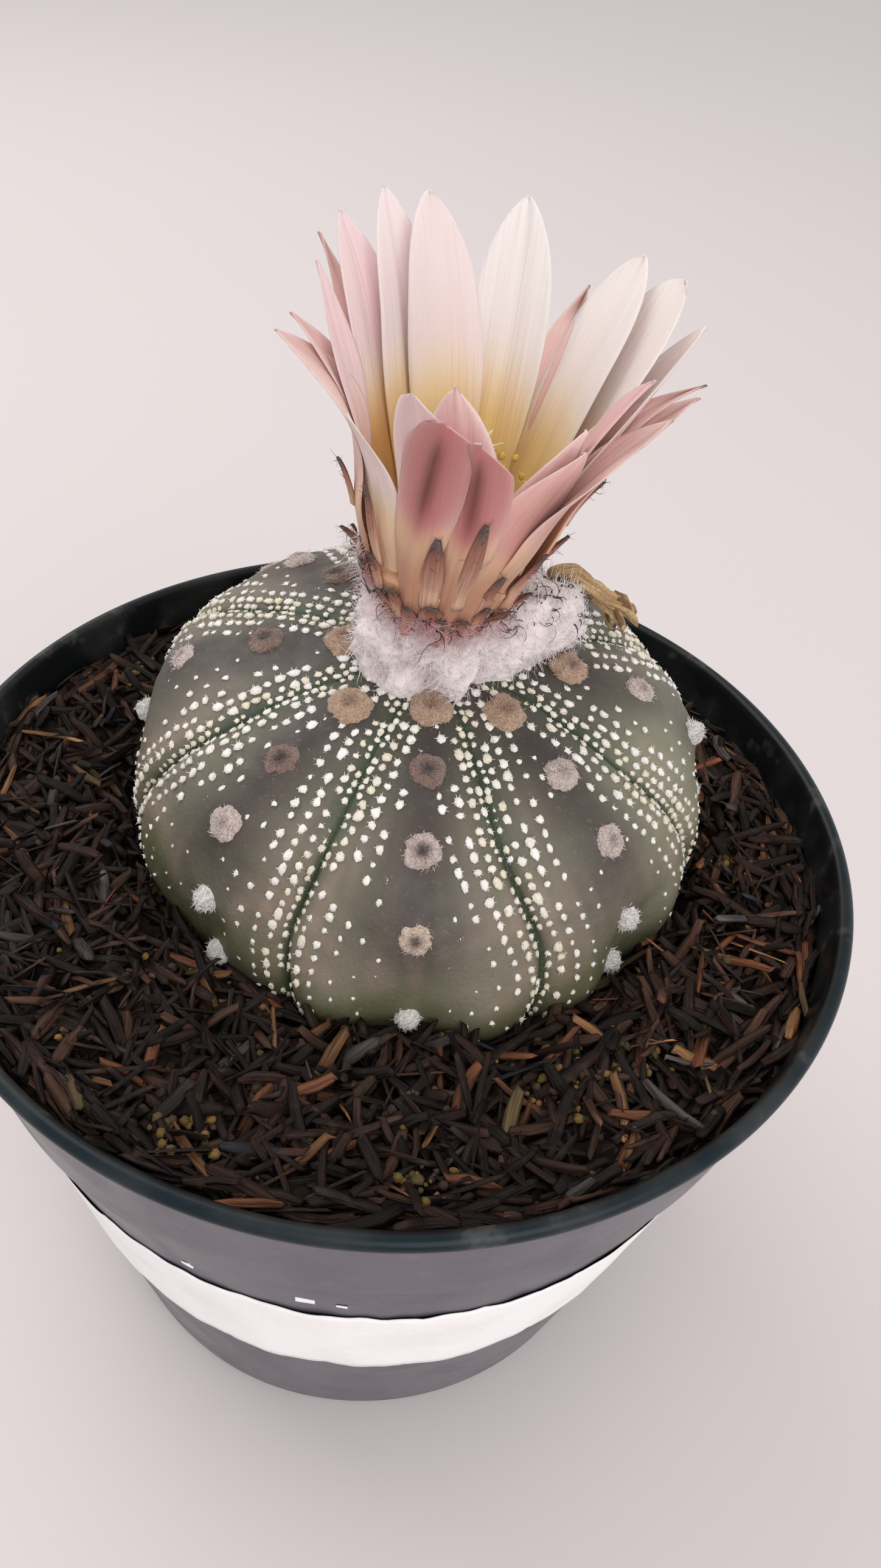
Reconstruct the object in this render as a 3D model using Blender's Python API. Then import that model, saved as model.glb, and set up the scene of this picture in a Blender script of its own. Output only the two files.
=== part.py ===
"""Potted star cactus in flower.

A squat eight-ribbed cactus stands in dark potting mix with rice husks, in a moulded plastic
nursery pot that has a blank paper label round it. White wool covers the cactus's crown. One
funnel-shaped flower and one withered flower grow from the wool.

Lengths are in millimetres and become metres when a mesh is made. +Z is up, the origin is on the
ground under the middle of the pot, and -Y is the front.
"""
import math
import random

import bpy
import numpy as np

MM = 0.001
GAP = 0.35  # clearance between pieces that touch
SIDES = 48  # sides of the pot's circles

# Pot
POT_HEIGHT = 111.0
RIM_RADIUS = 75.0
BASE_RADIUS = 54.0
WALL = 1.2
COLLAR_HEIGHT = 86.0  # where the wall steps out to the collar under the rim
COLLAR_STEP = 1.0
RIM_BAND = 2.4
FOOT_WIDTH = 7.5  # of the flat ring that the pot stands on
FOOT_HEIGHT = 2.0
DRAIN_RADIUS = 4.0
DRAIN_CIRCLE = 30.0
DRAIN_COUNT = 5

# Paper label
LABEL_BOTTOM = 38.0
LABEL_TOP = 71.5
LABEL_SLANT = 0.8
LABEL_THICKNESS = 0.6

# Potting mix
SOIL_HEIGHT = 103.6
SOIL_FALL = 1.1  # how far the top lies lower on the right and at the back
SOIL_DIP = 3.0  # how far it sinks beside the plant
SOIL_DIP_WIDTH = 4.0
HUSK_LENGTH = 11.5
HUSK_WIDTH = 3.5
HUSK_SPACING = 9.0
HUSK_SEED = 5

# Cactus body
BODY_CENTRE = (3.4, 11.3, 111.7)  # middle of its widest plane
BODY_LEAN = (0.007, -0.117)
BODY_RADIUS = 47.7
BODY_CROWN = 24.6  # height above the widest plane
BODY_BELLY = 37.2  # depth of the curve below it
ROUND_POWER = 0.84
FLAT_POWER = 0.89
RIB_COUNT = 8
CREST_SHIFT = (1.0, 0.9, 2.2, 0.0, 0.0, -2.2, -3.9, 1.2)  # degrees off even spacing, rib 0 in front
FURROW_SHIFT = (-0.9, -4.6, 0.0, 0.0, 0.0, 1.0, 3.6, 2.0)
RIB_FALL = 0.03  # share of the radius that a rib's face falls from crest to furrow
GROOVE_DEPTH = 0.035
GROOVE_WIDTH = 0.045
LOBE_SWELL = 0.018
ROOT_RINGS = ((16.0, -43.0), (8.0, -60.0))  # radius and height from the widest plane
ROOT_TIP = -70.0

# Felted areoles along each crest, and white flecks on the faces
AREOLE_PLACES = (0.15, 0.33, 0.54, 0.81, 1.11)  # 0 at the apex, 1 at the widest plane
AREOLE_RADII = (2.9, 2.6, 2.6, 2.1, 1.8)
AREOLE_HEIGHTS = (1.9, 1.6, 1.4, 1.3, 1.4)
AREOLE_SHIFT = (-0.12, 0.08, -0.12, 0.03, -0.04, -0.09, 0.02, 0.16)  # share, by rib
LOWEST_AREOLE = 1.07
WOOL_FREE_RIBS = (0, 1, 6, 7)  # ribs whose top areole shows beside the wool
FIRST_FLECK = 0.33  # place down the rib
LOWEST_FLECK = 103.2  # height above the ground, just over the potting mix
FLECK_CHANCES = (0.12, 0.45, 1.0)  # along the crest, half way and beside the furrow
LOW_FLECK_SHARE = 0.6  # of those chances, under the widest plane
FLECK_HEIGHT = 0.6
FLECK_SHARE = 0.36  # of the patch of skin that a fleck stands on
FLECK_SEED = 11

# Flower, in heights along its axis from its foot on the apex
FLOWER_FOOT = (2.2, 8.4, 137.0)
FLOWER_LEAN = 0.10  # towards +X
FLOWER_SIDES = 20
TUBE_HEIGHTS = (-6.0, 4.0, 10.0, 14.0, 17.2)
TUBE_RADII = (8.1, 8.3, 9.1, 10.5, 11.9)
TUBE_MOUTH = 9.8
BOWL_RINGS = ((8.6, 13.0), (6.5, 10.0))  # radii and heights down the inside
BOWL_FLOOR = 9.0
RING_BOTTOM = 17.55  # the ring that joins a whorl of tepals
RING_TOP = 20.5
RING_WIDTH = 0.9
RING_FLARE = 0.9
TEPAL_THICKNESS = 0.7
INNER_FOOT = 10.2  # radius at which the inner tepals start
OUTER_FOOT = 11.6
INNER_FLARE = 1.0
OUTER_FLARE = 1.25
TEPAL_STEPS = (0.0, 0.28, 0.54, 0.78, 1.0)
# Each tepal is its direction in degrees, the tip's distance from the axis, its height, its width
INNER_TEPALS = (
    (156, 24.0, 56.5, 9.5),
    (134, 20.5, 60.0, 10.0),
    (112, 22.0, 58.0, 10.5),
    (81, 18.5, 61.0, 10.5),
    (52, 22.5, 56.0, 9.0),
    (30, 21.5, 57.5, 11.5),
    (11, 24.0, 56.5, 11.5),
    (-12, 22.5, 50.0, 9.0),
    (-44, 16.5, 40.5, 9.5),
    (-103, 19.0, 50.5, 11.5),
    (-140, 19.0, 47.0, 8.0),
    (-176, 21.0, 53.0, 8.5),
)
OUTER_TEPALS = (
    (181, 27.0, 47.5, 7.5),
    (163, 27.5, 48.5, 6.0),
    (133, 26.5, 49.0, 6.5),
    (98, 26.0, 50.0, 7.0),
    (66, 26.5, 49.5, 6.5),
    (23, 28.0, 49.0, 6.5),
    (-8, 28.5, 47.0, 5.5),
    (-34, 27.5, 46.5, 8.5),
    (-62, 23.5, 39.5, 9.0),
    (-87, 25.5, 46.5, 10.0),
    (-113, 26.0, 51.0, 10.0),
)
STAMEN_COUNT = 16
STAMEN_SEED = 3
STAMEN_RING = ((4.6, 10.0), (6.3, 10.35), (6.3, 12.0), (4.6, 12.0))
STAMEN_FOOT = (5.45, 11.2)
STAMEN_REACH = (6.4, 9.4)
STAMEN_HEIGHT = (23.0, 29.0)
FILAMENT_RADIUS = 0.42
STIGMA_HEIGHT = 34.6
STIGMA_LOBES = 6
SCALE_ROWS = ((10.9, 8, 13.2), (13.0, 7, 15.1))  # height on the tube, count and radius at the tips
SCALE_RISE = 5.85
SCALE_ROOT = 0.5  # how far its foot is sunk into the tube
SCALE_WIDTH = 2.4
SCALE_START = -1.7  # direction of the first scale in each row

# Wool round the flower's foot, and the old flower that hangs over it
WOOL_SIDES = 24
WOOL_RADIUS = 14.6
WOOL_HEIGHT = 11.3
WOOL_FLOOR = -16.0  # well inside the body, which is cut away from it
WOOL_LUMP_REACH = 12.5
WOOL_LUMP_ANGLE = 25.0
WOOL_LUMP_WIDTH = 33.0
WITHERED_PATH = (
    (20.5, 16.9, 147.2),
    (24.5, 18.8, 146.4),
    (29.5, 20.8, 142.4),
    (33.6, 22.2, 138.2),
    (36.6, 23.2, 135.0),
)
WITHERED_RADII = (1.7, 2.0, 2.5, 2.3, 3.3)


# Tools for making meshes

def clear_scene():
    for thing in list(bpy.data.objects):
        bpy.data.objects.remove(thing)


def material(name, colour, roughness):
    made = bpy.data.materials.new(name)
    made.use_nodes = True
    shader = made.node_tree.nodes["Principled BSDF"]
    shader.inputs["Base Color"].default_value = (*colour, 1.0)
    shader.inputs["Roughness"].default_value = roughness
    shader.inputs["Metallic"].default_value = 0.0
    made.diffuse_color = (*colour, 1.0)
    return made


def add_object(name, points, faces, finish=None, sharp_degrees=50.0):
    """Puts a mesh, with its points in millimetres, in the scene as one object."""
    mesh = bpy.data.meshes.new(name)
    mesh.from_pydata([tuple(p) for p in np.asarray(points, float) * MM], [], faces)
    mesh.shade_smooth()
    mesh.set_sharp_from_angle(angle=math.radians(sharp_degrees))
    made = bpy.data.objects.new(name, mesh)
    bpy.context.scene.collection.objects.link(made)
    if finish is not None:
        mesh.materials.append(finish)
    return made


def combine(target, pieces, operation):
    """Joins the pieces to the target, or cuts them out of it, and removes them."""
    helpers = bpy.data.collections.new("helpers")
    bpy.context.scene.collection.children.link(helpers)
    for piece in pieces:
        bpy.context.scene.collection.objects.unlink(piece)
        helpers.objects.link(piece)
    modifier = target.modifiers.new("Combine", "BOOLEAN")
    modifier.operation = operation
    modifier.operand_type = "COLLECTION"
    modifier.collection = helpers
    modifier.solver = "MANIFOLD"
    bpy.context.view_layer.update()
    graph = bpy.context.evaluated_depsgraph_get()
    mesh = bpy.data.meshes.new_from_object(target.evaluated_get(graph))
    target.modifiers.clear()
    target.data = mesh
    mesh.name = target.name
    for piece in pieces:
        bpy.data.objects.remove(piece)
    bpy.data.collections.remove(helpers)


def rings_to_solid(rings, bottom=None, top=None):
    """Closed solid through rings of equal count, from the bottom up and counterclockwise from above."""
    rings = [np.asarray(ring, float) for ring in rings]
    count = len(rings[0])
    points = list(np.concatenate(rings))
    faces = []
    for row in range(len(rings) - 1):
        for a in range(count):
            b = (a + 1) % count
            low, high = row * count, (row + 1) * count
            faces.append((low + a, low + b, high + b, high + a))
    if bottom is None:
        faces.append(tuple(reversed(range(count))))
    else:
        points.append(np.asarray(bottom, float))
        for a in range(count):
            faces.append((len(points) - 1, (a + 1) % count, a))
    last = (len(rings) - 1) * count
    if top is None:
        faces.append(tuple(range(last, last + count)))
    else:
        points.append(np.asarray(top, float))
        for a in range(count):
            faces.append((len(points) - 1, last + a, last + (a + 1) % count))
    return points, faces


def looped_rings_to_solid(rings):
    """Closed ring-shaped solid: the last ring joins the first one again."""
    count = len(rings[0])
    points = list(np.concatenate(rings))
    faces = []
    for row in range(len(rings)):
        low, high = row * count, (row + 1) % len(rings) * count
        for a in range(count):
            b = (a + 1) % count
            faces.append((low + a, low + b, high + b, high + a))
    return points, faces


def circle(radius, height, sides=SIDES):
    turn = np.linspace(0, 2 * np.pi, sides, endpoint=False)
    return np.stack([radius * np.cos(turn), radius * np.sin(turn), np.full(sides, height)], axis=1)


def diamond(centre, along, across, upward):
    """Eight-faced grain with its points at the ends of three half-axes."""
    centre = np.asarray(centre, float)
    points = [centre + along, centre + across, centre - along, centre - across]
    points += [centre + upward, centre - upward]
    faces = [(0, 1, 4), (1, 2, 4), (2, 3, 4), (3, 0, 4), (1, 0, 5), (2, 1, 5), (3, 2, 5), (0, 3, 5)]
    return points, faces


def unit(vector):
    return vector / np.linalg.norm(vector)


# Pot, label and potting mix

def pot_outside(height):
    """Radius of the outer wall under the collar."""
    slope = (RIM_RADIUS - BASE_RADIUS) / POT_HEIGHT
    return BASE_RADIUS + (slope * COLLAR_HEIGHT - COLLAR_STEP) * height / COLLAR_HEIGHT


def pot_inside(height):
    """Radius of the inner wall, which steps out inside the collar."""
    if height < COLLAR_HEIGHT:
        return pot_outside(height) - WALL
    slope = (RIM_RADIUS - RIM_BAND - pot_inside_collar()) / (POT_HEIGHT - COLLAR_HEIGHT)
    return pot_inside_collar() + slope * (height - COLLAR_HEIGHT)


def pot_inside_collar():
    return pot_outside(COLLAR_HEIGHT) + COLLAR_STEP - WALL


def make_pot():
    step = pot_outside(COLLAR_HEIGHT)
    foot_inside = BASE_RADIUS - FOOT_WIDTH
    floor = FOOT_HEIGHT + WALL
    profile = (
        (foot_inside, FOOT_HEIGHT),
        (foot_inside, 0.0),
        (BASE_RADIUS - 0.8, 0.0),
        (BASE_RADIUS, 0.8),
        (step, COLLAR_HEIGHT),
        (step + COLLAR_STEP, COLLAR_HEIGHT + 0.4),
        (RIM_RADIUS - 1.2, POT_HEIGHT - RIM_BAND - 0.2),
        (RIM_RADIUS - 0.4, POT_HEIGHT - RIM_BAND),
        (RIM_RADIUS, POT_HEIGHT - RIM_BAND + 0.6),
        (RIM_RADIUS - 0.1, POT_HEIGHT - 0.5),
        (RIM_RADIUS - 0.7, POT_HEIGHT),
        (RIM_RADIUS - 1.8, POT_HEIGHT),
        (pot_inside(POT_HEIGHT), POT_HEIGHT - 0.8),
        (pot_inside_collar(), COLLAR_HEIGHT + 0.4),
        (step - WALL, COLLAR_HEIGHT - 0.6),
        (pot_outside(floor) - WALL, floor),
    )
    rings = [circle(radius, height) for radius, height in profile]
    points, faces = rings_to_solid(rings, bottom=(0, 0, FOOT_HEIGHT), top=(0, 0, floor))
    pot = add_object("pot", points, faces, material("dark_plastic", (0.035, 0.05, 0.055), 0.45))
    drills = []
    for hole in range(DRAIN_COUNT + 1):
        turn = 2 * math.pi * hole / DRAIN_COUNT
        out = DRAIN_CIRCLE if hole < DRAIN_COUNT else 0.0
        centre = np.array([out * math.cos(turn), out * math.sin(turn), 0.0])
        drill = [circle(DRAIN_RADIUS, height, 10) + centre for height in (FOOT_HEIGHT - 2, floor + 2)]
        drills.append(add_object(f"drill_{hole}", *rings_to_solid(drill)))
    combine(pot, drills, "DIFFERENCE")


def make_label():
    """Paper band with slightly slanted edges, all the way round under the collar."""
    turn = np.linspace(0, 2 * np.pi, SIDES, endpoint=False)
    slant = LABEL_SLANT * np.sin(turn - 0.5)
    rings = []
    edges = ((LABEL_BOTTOM, 0), (LABEL_BOTTOM, LABEL_THICKNESS), (LABEL_TOP, LABEL_THICKNESS), (LABEL_TOP, 0))
    for height, lift in edges:
        level = height + slant
        radius = pot_outside(level) + GAP + lift
        rings.append(np.stack([radius * np.cos(turn), radius * np.sin(turn), level], axis=1))
    points, faces = looped_rings_to_solid(rings)
    add_object("paper_band", points, faces, material("label_paper", (0.82, 0.81, 0.80), 0.9))


def from_plant(x, y):
    """Distance from the plant's outline, which is nearly round at the soil."""
    return np.hypot(x - BODY_CENTRE[0], y - BODY_CENTRE[1] - 1.0) - BODY_RADIUS - 1.0


def soil_level(x, y):
    dip = SOIL_DIP * np.exp(-((np.maximum(from_plant(x, y), 0.0) / SOIL_DIP_WIDTH) ** 2))
    return SOIL_HEIGHT - SOIL_FALL * (x + y) / RIM_RADIUS - dip


def husk_places():
    """Hexagonal grid with a random shift: middles of the husks, clear of the plant and the pot."""
    draw = random.Random(HUSK_SEED)
    reach = pot_inside(SOIL_HEIGHT) - 3.0
    rows = int(reach / (HUSK_SPACING * 0.87)) + 1
    for row in range(-rows, rows + 1):
        for column in range(-12, 13):
            x = (column + 0.5 * (row % 2)) * HUSK_SPACING + draw.uniform(-1.6, 1.6)
            y = row * HUSK_SPACING * 0.87 + draw.uniform(-1.6, 1.6)
            heading = draw.uniform(0, math.pi)
            tilt = draw.uniform(-0.22, 0.22)
            size = draw.uniform(0.85, 1.15)
            from_wall = reach - math.hypot(x, y)
            if from_wall < 0 or from_plant(x, y) < 2.0:
                continue
            if from_wall < HUSK_LENGTH / 2:
                heading = math.atan2(y, x) + math.pi / 2
            if from_plant(x, y) < HUSK_LENGTH / 2:
                heading = math.atan2(y - BODY_CENTRE[1], x - BODY_CENTRE[0]) + math.pi / 2
            yield x, y, heading, tilt, size


def make_soil():
    """Plug of mix that fills the pot, with husks joined to its top and a hole for the plant."""
    top = pot_inside(SOIL_HEIGHT) - GAP
    floor = FOOT_HEIGHT + WALL + GAP
    rings = [
        circle(pot_inside(floor) - GAP, floor),
        circle(pot_inside(COLLAR_HEIGHT - 1.5) - GAP, COLLAR_HEIGHT - 1.5),
        circle(pot_inside(COLLAR_HEIGHT - 1.5) + 0.3, COLLAR_HEIGHT + 2.0),
        circle(top, 0.0),
    ]
    middle = np.array([BODY_CENTRE[0], BODY_CENTRE[1] + 1.0, 0.0])
    rings += [circle(BODY_RADIUS + out, 0.0) + middle for out in (7.0, 3.5, 0.5)]
    for ring in rings[3:]:
        ring[:, 2] = soil_level(ring[:, 0], ring[:, 1])
    points, faces = rings_to_solid(rings, bottom=(0, 0, floor), top=middle + (0, 0, SOIL_HEIGHT - SOIL_DIP))
    soil = add_object("soil", points, faces, material("husk_mix", (0.06, 0.035, 0.025), 0.95), 10.0)
    husks = []
    for x, y, heading, tilt, size in husk_places():
        along = np.array([math.cos(heading), math.sin(heading), tilt]) * HUSK_LENGTH / 2 * size
        across = np.array([-math.sin(heading), math.cos(heading), 0.0]) * HUSK_WIDTH / 2 * size
        centre = (x, y, soil_level(x, y) + 0.25)
        grain = diamond(centre, along, across, np.array([0, 0, 1.35 * size]))
        husks.append(add_object(f"husk_{len(husks)}", *grain, sharp_degrees=10.0))
    combine(soil, husks, "UNION")
    combine(soil, [add_object("plant_hole", *body_mesh(GAP))], "DIFFERENCE")


# Cactus body

def rib_angle(rib, across):
    """Direction of the line at a place across a rib: -0.5 and 0.5 are its furrows, 0 its crest."""
    spacing = 360.0 / RIB_COUNT
    crest = -90.0 + spacing * rib + CREST_SHIFT[rib % RIB_COUNT]
    side = rib if across > 0 else rib - 1
    furrow = -90.0 + spacing * (side + 0.5) + FURROW_SHIFT[side % RIB_COUNT]
    return math.radians(crest + abs(across) * 2 * (furrow - crest))


def leaned(x, y, z):
    """Body coordinates, from the middle of the widest plane, turned by the lean and put in place."""
    lean_x, lean_y = BODY_LEAN
    centre_x, centre_y, centre_z = BODY_CENTRE
    height = centre_z + z - lean_x * x - lean_y * y
    return np.array([x + centre_x + lean_x * z, y + centre_y + lean_y * z, height])


def body_point(down, rib, across, gap=0.0):
    """Point on the skin: down is 0 at the apex, 1 at the widest plane and more below it."""
    angle = down * math.pi / 2
    fade = min(1.0, down / 0.3) * max(0.0, min(1.0, (1.6 - down) / 0.3))
    fall = (1 - math.cos(2 * math.pi * across)) / 2
    groove = math.exp(-(((0.5 - abs(across)) / GROOVE_WIDTH) ** 2))
    lobe = (1 - math.cos(4 * math.pi * across)) / 2 * math.exp(-(((down - 1.15) / 0.2) ** 2))
    share = 1 - fade * (RIB_FALL * fall + GROOVE_DEPTH * groove) + LOBE_SWELL * lobe
    radius = BODY_RADIUS * abs(math.sin(angle)) ** ROUND_POWER * share + gap
    rise = math.cos(angle)
    if rise > 0:
        z = (BODY_CROWN + gap) * rise**FLAT_POWER
    else:
        z = (BODY_BELLY + gap) * rise
    turn = rib_angle(rib, across)
    return leaned(radius * math.cos(turn), radius * math.sin(turn), z)


ACROSS_STEPS = (-0.5, -0.44, -0.3, -0.15, 0.0, 0.15, 0.3, 0.44)
DOWN_STEPS = [0.07, 0.15, 0.23] + [round(0.30 + 0.075 * step, 3) for step in range(12)] + [1.23, 1.42, 1.58]


def body_rings(gap):
    """Rings of the skin from the root up, with all ribs' columns in each."""
    places = [(rib, across) for rib in range(RIB_COUNT) for across in ACROSS_STEPS]
    turns = [rib_angle(rib, across) for rib, across in places]
    rings = []
    for radius, z in reversed(ROOT_RINGS):
        reach = radius + gap
        rings.append([leaned(reach * math.cos(turn), reach * math.sin(turn), z) for turn in turns])
    for down in reversed(DOWN_STEPS):
        rings.append([body_point(down, rib, across, gap) for rib, across in places])
    return rings


def body_mesh(gap=0.0):
    bottom = leaned(0, 0, ROOT_TIP - gap)
    top = leaned(0, 0, BODY_CROWN + gap)
    return rings_to_solid(body_rings(gap), bottom, top)


def fleck_stands(down, level, column, draw):
    """Flecks are close together beside the furrows and few towards the crest and low down."""
    start = ACROSS_STEPS[column % len(ACROSS_STEPS)]
    end = (ACROSS_STEPS + (0.5,))[column % len(ACROSS_STEPS) + 1]
    away = abs(start + end) / 2
    if down < FIRST_FLECK or level < LOWEST_FLECK or away > 0.44:
        return False
    chance = FLECK_CHANCES[int(away / 0.15)]
    return draw.random() < chance * (1.0 if down < 1.0 else LOW_FLECK_SHARE)


def add_flecks(points, faces):
    """Raises a four-sided tuft in the middle of each chosen patch of skin."""
    draw = random.Random(FLECK_SEED)
    columns = len(ACROSS_STEPS) * RIB_COUNT
    first = len(ROOT_RINGS) * columns
    kept = []
    for number, face in enumerate(faces):
        row = (number - first) // columns
        column = number % columns
        down = 0.0
        if len(face) == 4 and 0 <= row < len(DOWN_STEPS) - 1:
            steps = DOWN_STEPS[::-1]
            down = (steps[row] + steps[row + 1]) / 2
        corners = [np.asarray(points[index]) for index in face]
        centre = sum(corners) / len(corners)
        if not fleck_stands(down, centre[2], column, draw):
            kept.append(face)
            continue
        normal = unit(np.cross(corners[2] - corners[0], corners[3] - corners[1]))
        start = len(points)
        points.extend(centre + (corner - centre) * FLECK_SHARE for corner in corners)
        points.append(centre + normal * FLECK_HEIGHT)
        for side in range(4):
            after = (side + 1) % 4
            kept.append((face[side], face[after], start + after, start + side))
            kept.append((start + side, start + after, start + 4))
    return points, kept


def areole_dome(down, rib, radius, height):
    """Low felted cushion that stands on the crest, square to the skin."""
    step = 0.02
    centre = body_point(down, rib, 0.0)
    along = unit(body_point(down + step, rib, 0.0) - centre)
    across = unit(body_point(down, rib, step) - body_point(down, rib, -step))
    normal = np.cross(along, across)
    rings = []
    for share, lift in ((0.9, -0.9), (1.0, 0.35), (0.66, 0.85)):
        flat = circle(radius * share, lift * (height if lift > 0 else 1.0), 6)
        rings.append([centre + p[0] * along + p[1] * across + p[2] * normal for p in flat])
    return rings_to_solid(rings, bottom=centre - normal, top=centre + normal * height)


def areole_domes(extra=0.0):
    """All the areoles that show; those under the wool's long lump are left out."""
    for rib in range(RIB_COUNT):
        for place, radius, height in zip(AREOLE_PLACES, AREOLE_RADII, AREOLE_HEIGHTS):
            down = min(place * (1 + AREOLE_SHIFT[rib]), LOWEST_AREOLE)
            if down > 0.2 or rib in WOOL_FREE_RIBS:
                yield areole_dome(down, rib, radius + extra, height + extra)


def make_body():
    points, faces = body_mesh()
    points, faces = add_flecks(points, faces)
    body = add_object("cactus_body", points, faces, material("cactus_skin", (0.16, 0.19, 0.14), 0.6), 35.0)
    domes = [add_object(f"areole_{number}", *dome) for number, dome in enumerate(areole_domes())]
    combine(body, domes, "UNION")


# Flower

def flower_point(radius, turn, height):
    """Flower coordinates, round the leaning axis, to the part's own."""
    axis = unit(np.array([FLOWER_LEAN, 0.0, 1.0]))
    side = np.cross([0.0, 1.0, 0.0], axis)
    out = math.cos(turn) * side + math.sin(turn) * np.array([0.0, 1.0, 0.0])
    return np.array(FLOWER_FOOT) + out * radius + axis * height


def flower_ring(radius, height, sides=FLOWER_SIDES):
    return [flower_point(radius, 2 * math.pi * side / sides, height) for side in range(sides)]


def tube_radius(height):
    return float(np.interp(height, TUBE_HEIGHTS, TUBE_RADII))


def tepal_width(along):
    """Share of the full width: narrow at the foot, widest past the middle, pointed."""
    swell = 0.45 + 0.55 * math.sin(math.pi / 2 * min(1.0, along / 0.62))
    taper = 1 - 0.88 * max(0.0, (along - 0.62) / 0.38) ** 1.7
    return swell * taper


def blade(turn, foot, tip, width, flare, thickness, shape, steps):
    """Thin leaf that rises from its foot to its tip, both radius and height, and wraps round the axis."""
    back, front = [], []
    for along in steps:
        radius = foot[0] + (tip[0] - foot[0]) * along**flare
        height = foot[1] + (tip[1] - foot[1]) * along
        slope = (tip[0] - foot[0]) * flare * max(along, 0.05) ** (flare - 1)
        lean = math.atan2(slope, tip[1] - foot[1])
        out = np.array([math.cos(lean), -math.sin(lean)]) * thickness / 2
        half = width / 2 * shape(along)
        for side in (-1, 0, 1):
            sweep = math.radians(turn) + side * half / radius
            keel = 0.25 if side == 0 else 0.0
            back.append(flower_point(radius + out[0] + keel, sweep, height + out[1]))
            front.append(flower_point(radius - out[0] + keel, sweep, height - out[1]))
    points = back + front
    shift = len(back)
    faces = []
    rows = len(steps)
    for row in range(rows - 1):
        for column in range(2):
            a = row * 3 + column
            quad = (a, a + 1, a + 4, a + 3)
            faces.extend([(quad[0], quad[1], quad[2]), (quad[0], quad[2], quad[3])])
            inner = [index + shift for index in quad]
            faces.extend([(inner[2], inner[1], inner[0]), (inner[3], inner[2], inner[0])])
    edge = [0, 1, 2] + [row * 3 + 2 for row in range(1, rows)]
    edge += [rows * 3 - 2, rows * 3 - 3] + [row * 3 for row in range(rows - 2, 0, -1)]
    for a, b in zip(edge, edge[1:] + edge[:1]):
        faces.append((b, a, a + shift, b + shift))
    return points, faces


def make_tepals(name, tepals, foot, flare, finish):
    """Ring on the tube's mouth, with its tepals joined to it."""
    inside, outside = foot - RING_WIDTH / 2, foot + RING_WIDTH / 2
    rings = [
        flower_ring(inside - 0.1, RING_BOTTOM),
        flower_ring(outside, RING_BOTTOM),
        flower_ring(outside + RING_FLARE, RING_TOP),
        flower_ring(inside + RING_FLARE, RING_TOP),
    ]
    whole = add_object(name, *looped_rings_to_solid(rings), finish)
    blades = []
    for turn, reach, height, width in tepals:
        shape = blade(
            turn,
            (foot + 0.25, RING_BOTTOM + 0.9),
            (reach, height),
            width,
            flare,
            TEPAL_THICKNESS,
            tepal_width,
            TEPAL_STEPS,
        )
        blades.append(add_object(f"{name}_{len(blades)}", *shape))
    combine(whole, blades, "UNION")


def make_tube():
    """Short funnel with a bowl in its top and narrow scales on its outside."""
    rings = [flower_ring(radius, height) for height, radius in zip(TUBE_HEIGHTS, TUBE_RADII)]
    rings.append(flower_ring(TUBE_MOUTH, TUBE_HEIGHTS[-1]))
    rings += [flower_ring(radius, height) for radius, height in BOWL_RINGS]
    foot, floor = flower_point(0, 0, TUBE_HEIGHTS[0]), flower_point(0, 0, BOWL_FLOOR)
    points, faces = rings_to_solid(rings, bottom=foot, top=floor)
    tube = add_object("flower_tube", points, faces, material("flower_tube_skin", (0.72, 0.50, 0.34), 0.6))
    scales = []
    for row, (height, count, tip_radius) in enumerate(SCALE_ROWS):
        for number in range(count):
            turn = 2 * math.pi / count * (number + 0.5 * row) + SCALE_START
            foot = flower_point(tube_radius(height) - SCALE_ROOT, turn, height)
            tip = flower_point(tip_radius, turn, height + SCALE_RISE)
            across = np.array([-math.sin(turn), math.cos(turn), 0.0]) * SCALE_WIDTH / 2
            along = (tip - foot) / 2
            grain = diamond((foot + tip) / 2, along, across, np.cross(unit(along), across) * 0.8)
            scales.append(add_object(f"scale_{len(scales)}", *grain))
    combine(tube, scales, "UNION")
    combine(tube, [add_object("body_seat", *body_mesh(GAP))], "DIFFERENCE")


def make_stamens():
    """Filaments with their anthers, on one ring at the bottom of the tube's bowl."""
    rings = [flower_ring(radius, height) for radius, height in STAMEN_RING]
    finish = material("stamen_yellow", (0.80, 0.55, 0.12), 0.6)
    whole = add_object("flower_stamens", *looped_rings_to_solid(rings), finish)
    draw = random.Random(STAMEN_SEED)
    pieces = []
    for number in range(STAMEN_COUNT):
        turn = 2 * math.pi * (number + draw.uniform(-0.2, 0.2)) / STAMEN_COUNT
        reach = draw.uniform(*STAMEN_REACH)
        height = draw.uniform(*STAMEN_HEIGHT)
        filament = []
        for radius, level in (STAMEN_FOOT, (reach, height)):
            centre = flower_point(radius, turn, level)
            filament.append([centre + p for p in circle(FILAMENT_RADIUS, 0.0, 3)])
        pieces.append(add_object(f"filament_{number}", *rings_to_solid(filament)))
        along = np.array([math.cos(turn), math.sin(turn), 0.6]) * 0.7
        across = np.array([-math.sin(turn), math.cos(turn), 0.0]) * 0.75
        anther = diamond(flower_point(reach, turn, height), along, across, np.array([0.0, 0.0, 1.1]))
        pieces.append(add_object(f"anther_{number}", *anther))
    combine(whole, pieces, "UNION")


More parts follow.
